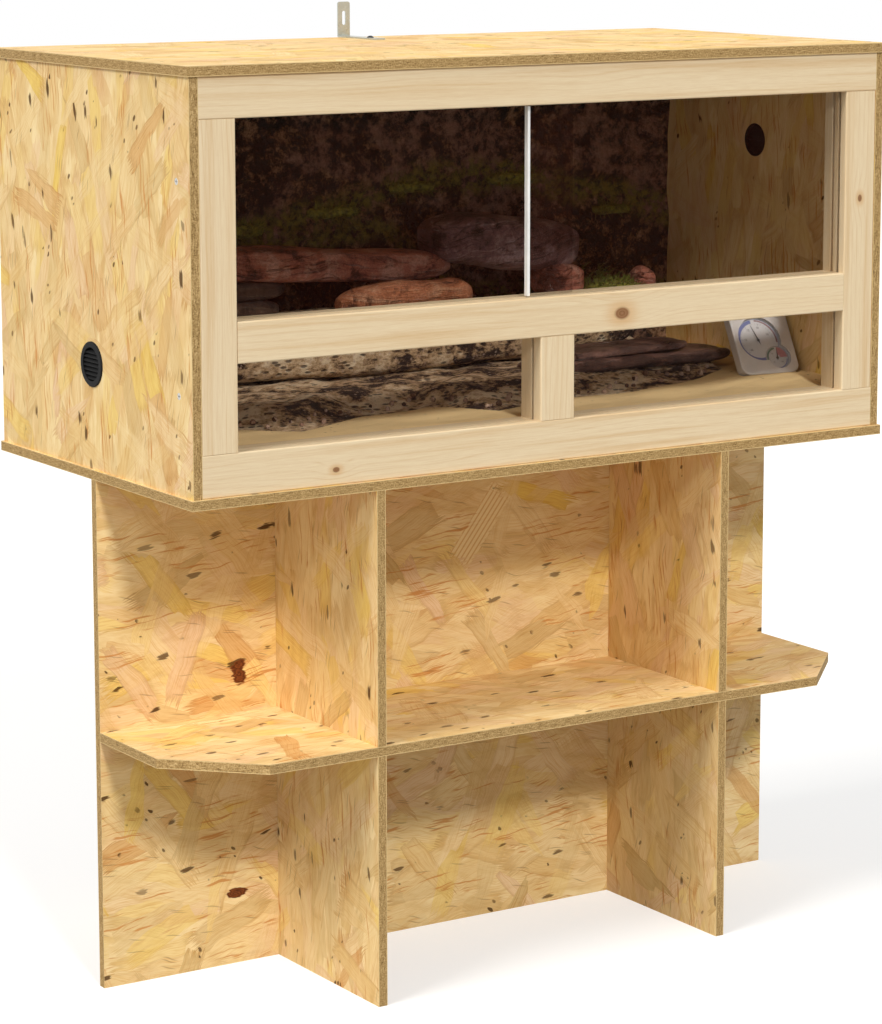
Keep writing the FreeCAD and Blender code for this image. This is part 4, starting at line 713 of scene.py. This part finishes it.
class Dial:
    """One dial, with the inks that print it."""

    def __init__(self, values, inks):
        self.values = values
        self.inks = inks
        right = Vector(JOINTS["gauge_leg_fold"]["axis"]).normalized()
        self.back = -Vector(JOINTS["temperature_needle_turn"]["axis"]).normalized()
        up = right.cross(self.back).normalized()
        self.turn = Matrix((right, self.back, up)).transposed().to_4x4()
        needle = Vector(JOINTS[values["joint"]]["pos_m"])
        self.centre = needle + self.back * values["behind_needle"] * MM

    def place(self, over):
        """Moves print made round the origin to its height over the plate."""
        return Matrix.Translation(self.centre - self.back * over * MM) @ self.turn

    def thicken(self, shape, verts, over):
        """Give flat print its thickness, and set it on the dial."""
        faces = list({face for vert in verts for face in vert.link_faces})
        grown = bmesh.ops.extrude_face_region(shape, geom=faces)
        front = [item for item in grown["geom"] if isinstance(item, bmesh.types.BMVert)]
        bmesh.ops.translate(shape, verts=front, vec=(0, -PRINT_THICKNESS, 0))
        every = list(set(verts) | set(front))
        bmesh.ops.recalc_face_normals(shape, faces=list({face for vert in every for face in vert.link_faces}))
        bmesh.ops.transform(shape, matrix=self.place(over), verts=every)

    def band(self, ink, inner, outer, start, end, over):
        """A flat band round the dial."""
        shape = self.inks[ink]
        low = len(shape.verts)
        angle = math.radians(start)
        sweep = math.radians(end) - angle
        ends = [shape.verts.new((radius * MM * math.cos(angle), 0.0, radius * MM * math.sin(angle)))
                for radius in (inner, outer)]
        edge = shape.edges.new(ends)
        bmesh.ops.spin(
            shape, geom=[*ends, edge], cent=(0, 0, 0), axis=(0, -1, 0), dvec=(0, 0, 0), angle=sweep,
            steps=int(sweep / math.radians(ARC_STEP)), use_merge=end - start == 360, use_duplicate=False)
        shape.verts.ensure_lookup_table()
        self.thicken(shape, shape.verts[low:], over)

    def mark(self, inner, outer, width, degrees):
        """One short mark that points at the dial's middle."""
        shape = self.inks["ink"]
        low = len(shape.verts)
        made = bmesh.ops.create_grid(shape, x_segments=1, y_segments=1, size=0.5)
        size = Matrix.Diagonal(((outer - inner) * MM, 1.0, width * MM, 1.0))
        out = Matrix.Translation(((inner + outer) / 2 * MM, 0, 0))
        spun = Matrix.Rotation(-math.radians(degrees), 4, "Y")
        bmesh.ops.transform(shape, matrix=spun @ out @ size @ UPRIGHT, verts=made["verts"])
        shape.verts.ensure_lookup_table()
        self.thicken(shape, shape.verts[low:], self.values["marks_over"])

    def number(self, text, degrees):
        """One small upright number."""
        curve = bpy.data.curves.new("dial_number", "FONT")
        curve.body = text
        curve.size = self.values["number_size"] * MM
        curve.align_x = curve.align_y = "CENTER"
        curve.extrude = NUMBER_THICKNESS / 2
        maker = bpy.data.objects.new("dial_number", curve)
        mesh = bpy.data.meshes.new_from_object(maker)
        angle = math.radians(degrees)
        spot = Vector((math.cos(angle), 0, math.sin(angle))) * self.values["number_radius"] * MM
        mesh.transform(self.place(self.values["numbers_over"]) @ Matrix.Translation(spot) @ UPRIGHT)
        self.inks["ink"].from_mesh(mesh)
        bpy.data.objects.remove(maker)
        bpy.data.curves.remove(curve)
        bpy.data.meshes.remove(mesh)

    def print_all(self):
        """The bands, marks and numbers, in that order."""
        for band in self.values["bands"]:
            self.band(*band)
        count, apart, fifth, other = self.values["marks"]
        for step in range(count):
            self.mark(*(other if step % 5 else fifth), FIRST_MARK - step * apart)
        for place, value in enumerate(self.values["numbers"]):
            self.number(str(value), FIRST_MARK - place * self.values["number_step"])


# Operators

class TerrariumOperator(bpy.types.Operator):
    """Shared options."""
    bl_options = {"REGISTER", "UNDO"}


# Each board with its letters along, across and through it, and marks along and across it:
# knots with their reach, and ribbed strands with their half width, half length and turn.

BOARDS = (
    ("stand_centre_panel", "XZY"), ("stand_left_divider", "ZYX"), ("stand_right_divider", "ZYX"),
    ("stand_shelf", "XYZ"), ("bottom_panel", "XYZ"), ("top_panel", "XYZ"), ("left_side_panel", "ZYX"),
    ("right_side_panel", "ZYX"), ("back_panel", "XZY"))
BOARD_KNOTS = {"stand_centre_panel": ((-0.309, 0.367, 0.012, 0.016), (-0.318, 0.089, 0.013, 0.008))}
RIBBED_STRANDS = {"stand_centre_panel": ((0.043, 0.514, 0.019, 0.055, -0.66),)}


class TERRARIUM_OT_boards(TerrariumOperator):
    """Give every board its strands and cut edges"""
    bl_idname = "terrarium.boards"
    bl_label = "Strand boards"

    def execute(self, context):
        settings = context.scene.terrarium_boards
        for seed, (node, axes) in enumerate(BOARDS, 1):
            put(strand_board(
                node + "_board", axes, middle_of(node, axes[2]), seed, settings, BOARD_KNOTS.get(node, ()),
                RIBBED_STRANDS.get(node, ())), node)
        return {"FINISHED"}


# Each piece of the front frame with its letters along, across and through it, its seed, and its knots:
# their places along and across it and their radius.

FRAME_PIECES = (
    ("frame_top_rail", "XZY", 1, ()), ("frame_middle_rail", "XZY", 2, ((0.094, 0.809, 0.0092),)),
    ("frame_bottom_rail", "XZY", 3, ((-0.31, 0.655, 0.004),)), ("frame_left_stile", "ZXY", 5, ()),
    ("frame_right_stile", "ZXY", 6, ((0.93, 0.462, 0.004),)), ("frame_centre_post", "ZXY", 7, ()))


class TERRARIUM_OT_front_frame(TerrariumOperator):
    """Give the front frame its planed pine"""
    bl_idname = "terrarium.front_frame"
    bl_label = "Front frame"

    def execute(self, context):
        for node, axes, seed, knots in FRAME_PIECES:
            put(planed_pine(node + "_pine", axes, seed, context.scene.terrarium_timber, knots), node)
        return {"FINISHED"}


class TERRARIUM_OT_glass(TerrariumOperator):
    """Give the panes their tint and the white channel its plastic"""
    bl_idname = "terrarium.glass"
    bl_label = "Glass"

    def execute(self, context):
        settings = context.scene.terrarium_glass
        dark = pane_glass("dark_pane", tuple(settings.tint), settings.upper_cover)
        put(dark, "left_sliding_pane", "right_sliding_pane")
        light = pane_glass("light_pane", tuple(settings.lower_tint), settings.lower_cover)
        put(light, "lower_left_glass", "lower_right_glass")
        put(moulded_plastic("white_channel", settings.strip, 0.42), "right_pane_edge_strip")
        return {"FINISHED"}


class TERRARIUM_OT_vents(TerrariumOperator):
    """Give the vents their black plastic and mesh"""
    bl_idname = "terrarium.vents"
    bl_label = "Vents"

    def execute(self, context):
        black = moulded_plastic("vent_plastic", (0.005, 0.005, 0.0052), 0.62, shine=0.15)
        put(black, "left_vent_cap", "right_vent_cap", "left_vent_ring", "right_vent_ring")
        put(plated_steel("vent_mesh", (0.03, 0.03, 0.032), 0.5), "left_vent_mesh", "right_vent_mesh")
        return {"FINISHED"}


class TERRARIUM_OT_fittings(TerrariumOperator):
    """Give the bracket, screws, cams and dowels their metal and wood"""
    bl_idname = "terrarium.fittings"
    bl_label = "Fittings"

    def execute(self, context):
        put(plated_steel("bracket_zinc", (0.62, 0.63, 0.56), 0.26), "wall_bracket")
        put(plated_steel("screw_zinc", (0.74, 0.73, 0.7), 0.28), "board_screws", "frame_side_screws")
        put(plated_steel("cam_zinc", (0.42, 0.42, 0.43), 0.42), "cam_discs", "cam_bolts")
        put(moulded_plastic("black_screw", (0.015, 0.015, 0.015), 0.38), "wall_bracket_screw")
        dowel = planed_pine("dowel_wood", "ZXY", 9, context.scene.terrarium_timber)
        put(dowel, "panel_dowels", "frame_dowels")
        return {"FINISHED"}


# Each stone with its nodes, body, light and dark colours and dip, and some with a vein and its strength.

STONES = (
    ("red_slab", ("long_red_slab", "small_red_stone", "stump_stone"),
     (0.7, 0.25, 0.17), (0.95, 0.54, 0.42), (0.06, 0.014, 0.01), 0.05),
    ("orange_slab", ("round_end_slab",), (0.72, 0.27, 0.13), (0.96, 0.54, 0.32), (0.09, 0.022, 0.012), 0.02),
    ("grey_slab_rock", ("grey_slab",),
     (0.31, 0.17, 0.18), (0.72, 0.52, 0.55), (0.028, 0.011, 0.014), -0.14, (0.88, 0.84, 0.84), 1.0),
    ("dark_slab", ("flat_stone_lower", "flat_stone_upper"),
     (0.13, 0.066, 0.052), (0.34, 0.185, 0.145), (0.028, 0.011, 0.009), 0.0, (0.6, 0.37, 0.28), 0.5),
    ("layered_rock", ("left_lower_slab", "left_upper_slab"),
     (0.14, 0.082, 0.058), (0.38, 0.28, 0.18), (0.022, 0.01, 0.008), 0.03, (0.46, 0.36, 0.26), 0.5))


class TERRARIUM_OT_stones(TerrariumOperator):
    """Give the backdrop and every stone its rock"""
    bl_idname = "terrarium.stones"
    bl_label = "Backdrop and stones"

    def execute(self, context):
        put(moulded_backdrop("backdrop_rock", context.scene.terrarium_ground), "rock_backdrop")
        for name, nodes, *tones in STONES:
            put(worn_stone(name, *tones), *nodes)
        return {"FINISHED"}


class TERRARIUM_OT_ground(TerrariumOperator):
    """Give the sand, the litter, the ledge and the crumbs their grain"""
    bl_idname = "terrarium.ground"
    bl_label = "Sand and gravel"

    def execute(self, context):
        settings = context.scene.terrarium_ground
        put(dry_sand("pale_sand", settings), "sand_bed")
        put(loose_ground("litter_bank", settings), "gravel_bank", "strata_ledge")
        put(mixed_crumbs("loose_crumbs"), "gravel_crumbs")
        return {"FINISHED"}


FERN_BOX = ((0.262, 0.118, 0.785), (0.345, 0.15, 0.832))
FRESH_SIDE = 0.25


class TERRARIUM_OT_moss(TerrariumOperator):
    """Give the moss its colour and set small leaves on it"""
    bl_idname = "terrarium.moss"
    bl_label = "Moss"

    leaves: bpy.props.IntProperty(name="Leaves", description="Leaves on the cushions", default=520, min=0)
    leaf: amount_of("Leaf", "Length of a leaf", 0.0095, **LENGTH)
    fronds: bpy.props.IntProperty(name="Fronds", description="Fern fronds on the ledge", default=16, min=0)

    def execute(self, context):
        settings = context.scene.terrarium_ground
        put(moss_finish("cushion_moss", settings), "moss_cushions")
        dry, fresh = bmesh.new(), bmesh.new()
        dice = random.Random(5)
        self.cushion_leaves(dry, fresh, dice)
        low, high = FERN_BOX
        for frond in range(self.fronds):
            root = Vector((dice.uniform(low[0], high[0]), dice.uniform(low[1], high[1]), low[2]))
            sideways = dice.uniform(-0.9, 0.9)
            self.frond(fresh, root, sideways, (high[2] - low[2]) * dice.uniform(0.55, 1.0), dice)
        new_piece("moss_leaves", dry, moss_finish("dry_leaf", settings))
        new_piece("fresh_leaves", fresh, moss_finish("fresh_leaf", settings, settings.fresh_moss))
        return {"FINISHED"}

    def cushion_leaves(self, dry, fresh, dice):
        """Leaves on the front and top faces of the cushions, fresh ones towards the right."""
        cushion = bmesh.new()
        cushion.from_mesh(bpy.data.objects["moss_cushions"].data)
        bmesh.ops.remove_doubles(cushion, verts=cushion.verts, dist=0.00001)
        faces = [face for face in cushion.faces if face.normal.y < -0.15 or face.normal.z > 0.55]
        areas = [face.calc_area() for face in faces]
        for face in dice.choices(faces, weights=areas, k=self.leaves):
            spot = face.calc_center_median()
            bend = Vector((dice.uniform(-0.9, 0.9), dice.uniform(-0.8, 0.1), dice.uniform(-0.3, 0.8)))
            lean = (face.normal + bend).normalized()
            shape = fresh if spot.x > FRESH_SIDE else dry
            self.leaf_blade(shape, spot, lean, self.leaf * dice.uniform(0.6, 1.25), dice)
        cushion.free()

    def frond(self, shape, root, sideways, height, dice):
        """A fern frond: a bent stem with pairs of leaves that shorten towards its tip."""
        steps = 8
        spot = root
        for step in range(steps):
            share = (step + 1) / steps
            rise = Vector((sideways * share, -0.55 * share, 1.0 - 0.75 * share * share)).normalized()
            self.leaf_blade(shape, spot, rise, height / steps * 1.3, dice)
            spot = spot + rise * height / steps
            for way in (-1, 1):
                lean = (Vector((way, -0.35, 0.1)) + rise * 0.5).normalized()
                self.leaf_blade(shape, spot, lean, self.leaf * (1.25 - 0.8 * share), dice)

    def leaf_blade(self, shape, spot, lean, length, dice):
        """One narrow flattened leaf."""
        made = bmesh.ops.create_cone(
            shape, cap_ends=True, segments=3, radius1=length * 0.16, radius2=length * 0.03, depth=length)
        turn = Vector((0, 0, 1)).rotation_difference(lean).to_matrix().to_4x4()
        flat = Matrix.Diagonal((1.0, 0.35, 1.0, 1.0)) @ Matrix.Rotation(dice.uniform(0, 3.1), 4, "Z")
        place = Matrix.Translation(spot + lean * length * 0.42)
        bmesh.ops.transform(shape, matrix=place @ turn @ flat, verts=made["verts"])


class TERRARIUM_OT_gauge(TerrariumOperator):
    """Give the thermo-hygrometer its plastics and metals"""
    bl_idname = "terrarium.gauge"
    bl_label = "Thermo-hygrometer"

    def execute(self, context):
        settings = context.scene.terrarium_gauge
        shell = moulded_plastic("gauge_plastic", settings.body, 0.4)
        put(shell, "gauge_case", "gauge_back_cover", "gauge_leg")
        put(moulded_plastic("dial_plastic", settings.plate, 0.5), "gauge_dial_plate")
        put(clear_sheet("clear_sheet"), "gauge_lens")
        put(printed("needle_black", settings.ink), "temperature_needle", "humidity_needle")
        put(plated_steel("coil_metal", (0.6, 0.45, 0.25), 0.35), "temperature_coil", "humidity_coil")
        put(plated_steel("pin_steel", (0.6, 0.6, 0.6), 0.3), "gauge_leg_pin")
        return {"FINISHED"}


class TERRARIUM_OT_dial_print(TerrariumOperator):
    """Print the two scales: bands, marks and plain numbers"""
    bl_idname = "terrarium.dial_print"
    bl_label = "Dial print"

    def execute(self, context):
        settings = context.scene.terrarium_gauge
        inks = {ink: bmesh.new() for ink in DIAL_PIECES}
        for values in DIALS:
            Dial(values, inks).print_all()
        for ink, name in DIAL_PIECES.items():
            new_piece(name, inks[ink], printed(name + "_ink", getattr(settings, ink)))
        return {"FINISHED"}


# Each sun with its strength, its spread in degrees and the way that its light goes.

SUNS = (("key", 1.75, 8.0, (0.15, 0.79, -0.595)), ("side", 2.3, 24.0, (0.68, 0.12, -0.72)))
SUN_COLOUR = (1.0, 0.965, 0.91)
SUN_HEIGHT = 3.0
WHITE = (1.0, 1.0, 1.0)
SURROUND_GLOW = {"Color": (0.95, 0.99, 1.03), "Strength": 0.42}
SURROUND_SEEN = {"Color": WHITE, "Strength": 1.0}
FLOOR_REACH = 14.0
FLOOR_GLOW = 0.46
FLOOR_HIDDEN = (0.42, 0.42, 0.42)
FLOOR_TONES = ((0.58, 0.58, 0.58), (0.61, 0.61, 0.61))
SENSOR_WIDTH = 36.0
FARTHEST = 60.0


class TERRARIUM_OT_stage(TerrariumOperator):
    """Set the floor, the lights and the camera"""
    bl_idname = "terrarium.stage"
    bl_label = "Stage"

    def execute(self, context):
        self.floor()
        self.suns(context)
        self.surround(context)
        self.camera(context)
        context.scene.view_settings.view_transform = "Standard"
        return {"FINISHED"}

    def floor(self):
        """A pale floor that keeps the object's soft shadow and sends less light back up than it shows."""
        look = Finish("pale_floor")
        seen = look.rays("Camera", "Glossy", "Transmission")
        pale = look.mix(look.noise(0.8, 2.0), *FLOOR_TONES)
        look.colour = look.mix(seen, FLOOR_HIDDEN, pale)
        look.surface(0.95, specular_ior_level=0.0, emission_color=WHITE, emission_strength=seen * FLOOR_GLOW)
        shape = bmesh.new()
        bmesh.ops.create_grid(shape, x_segments=1, y_segments=1, size=FLOOR_REACH)
        floor = mesh_object("floor", shape, look.material)

    def suns(self, context):
        """A soft sun from front left and a wider one from the left."""
        for name, strength, spread, way in SUNS:
            lamp = bpy.data.lights.new(name, "SUN")
            lamp.energy = strength
            lamp.angle = math.radians(spread)
            lamp.color = SUN_COLOUR
            sun = bpy.data.objects.new(name, lamp)
            sun.rotation_mode = "QUATERNION"
            sun.rotation_quaternion = Vector(way).normalized().to_track_quat("-Z", "Y")
            sun.location = (0.0, 0.0, SUN_HEIGHT)
            context.scene.collection.objects.link(sun)

    def surround(self, context):
        """A surround that looks white and lights the object more dimly."""
        world = bpy.data.worlds.new("surround")
        context.scene.world = world
        world.use_nodes = True
        nodes = Nodes(world.node_tree)
        seen = nodes.rays("Camera", "Transmission", "Glossy")
        backgrounds = (nodes.add("Background", inputs) for inputs in (SURROUND_GLOW, SURROUND_SEEN))
        nodes.new("OutputWorld", {"Surface": nodes.choose(seen, *backgrounds)})

    def camera(self, context):
        """The camera at the photograph's place."""
        settings = context.scene.terrarium_stage
        camera = bpy.data.objects.new("camera", bpy.data.cameras.new("camera"))
        context.scene.collection.objects.link(camera)
        camera.location = settings.eye
        camera.rotation_euler = (math.radians(90) + settings.pitch, 0.0, -settings.yaw)
        camera.data.lens = settings.lens
        camera.data.sensor_width = SENSOR_WIDTH
        camera.data.shift_x, camera.data.shift_y = settings.shift
        camera.data.clip_end = FARTHEST
        context.scene.camera = camera


class TERRARIUM_PT_panel(bpy.types.Panel):
    """Lists every step"""
    bl_idname = "TERRARIUM_PT_panel"
    bl_label = "Terrarium"
    bl_space_type = "VIEW_3D"
    bl_region_type = "UI"
    bl_category = "Terrarium"

    def draw(self, context):
        for operator in OPERATORS:
            self.layout.operator(operator.bl_idname)
        for name in SETTINGS:
            group = getattr(context.scene, name)
            box = self.layout.box()
            for setting in group.bl_rna.properties:
                if setting.identifier not in ("rna_type", "name"):
                    box.prop(group, setting.identifier)


OPERATORS = (
    TERRARIUM_OT_boards, TERRARIUM_OT_front_frame, TERRARIUM_OT_glass, TERRARIUM_OT_vents,
    TERRARIUM_OT_fittings, TERRARIUM_OT_stones, TERRARIUM_OT_ground, TERRARIUM_OT_moss, TERRARIUM_OT_gauge,
    TERRARIUM_OT_dial_print, TERRARIUM_OT_stage)
SETTINGS = {
    "terrarium_boards": BoardSettings, "terrarium_timber": TimberSettings, "terrarium_glass": GlassSettings,
    "terrarium_ground": GroundSettings, "terrarium_gauge": GaugeSettings, "terrarium_stage": StageSettings}


def register():
    """Add the settings, operators and panel."""
    for name, group in SETTINGS.items():
        bpy.utils.register_class(group)
        setattr(bpy.types.Scene, name, bpy.props.PointerProperty(type=group))
    for item in (*OPERATORS, TERRARIUM_PT_panel):
        bpy.utils.register_class(item)


def unregister():
    """Take them away again."""
    for item in reversed((*OPERATORS, TERRARIUM_PT_panel)):
        bpy.utils.unregister_class(item)
    for name, group in SETTINGS.items():
        delattr(bpy.types.Scene, name)
        bpy.utils.unregister_class(group)


def main():
    """Make everything, in order."""
    register()
    bpy.ops.terrarium.boards()
    bpy.ops.terrarium.front_frame()
    bpy.ops.terrarium.glass()
    bpy.ops.terrarium.vents()
    bpy.ops.terrarium.fittings()
    bpy.ops.terrarium.stones()
    bpy.ops.terrarium.ground()
    bpy.ops.terrarium.moss()
    bpy.ops.terrarium.gauge()
    bpy.ops.terrarium.dial_print()
    bpy.ops.terrarium.stage()


if __name__ == "__main__":
    main()
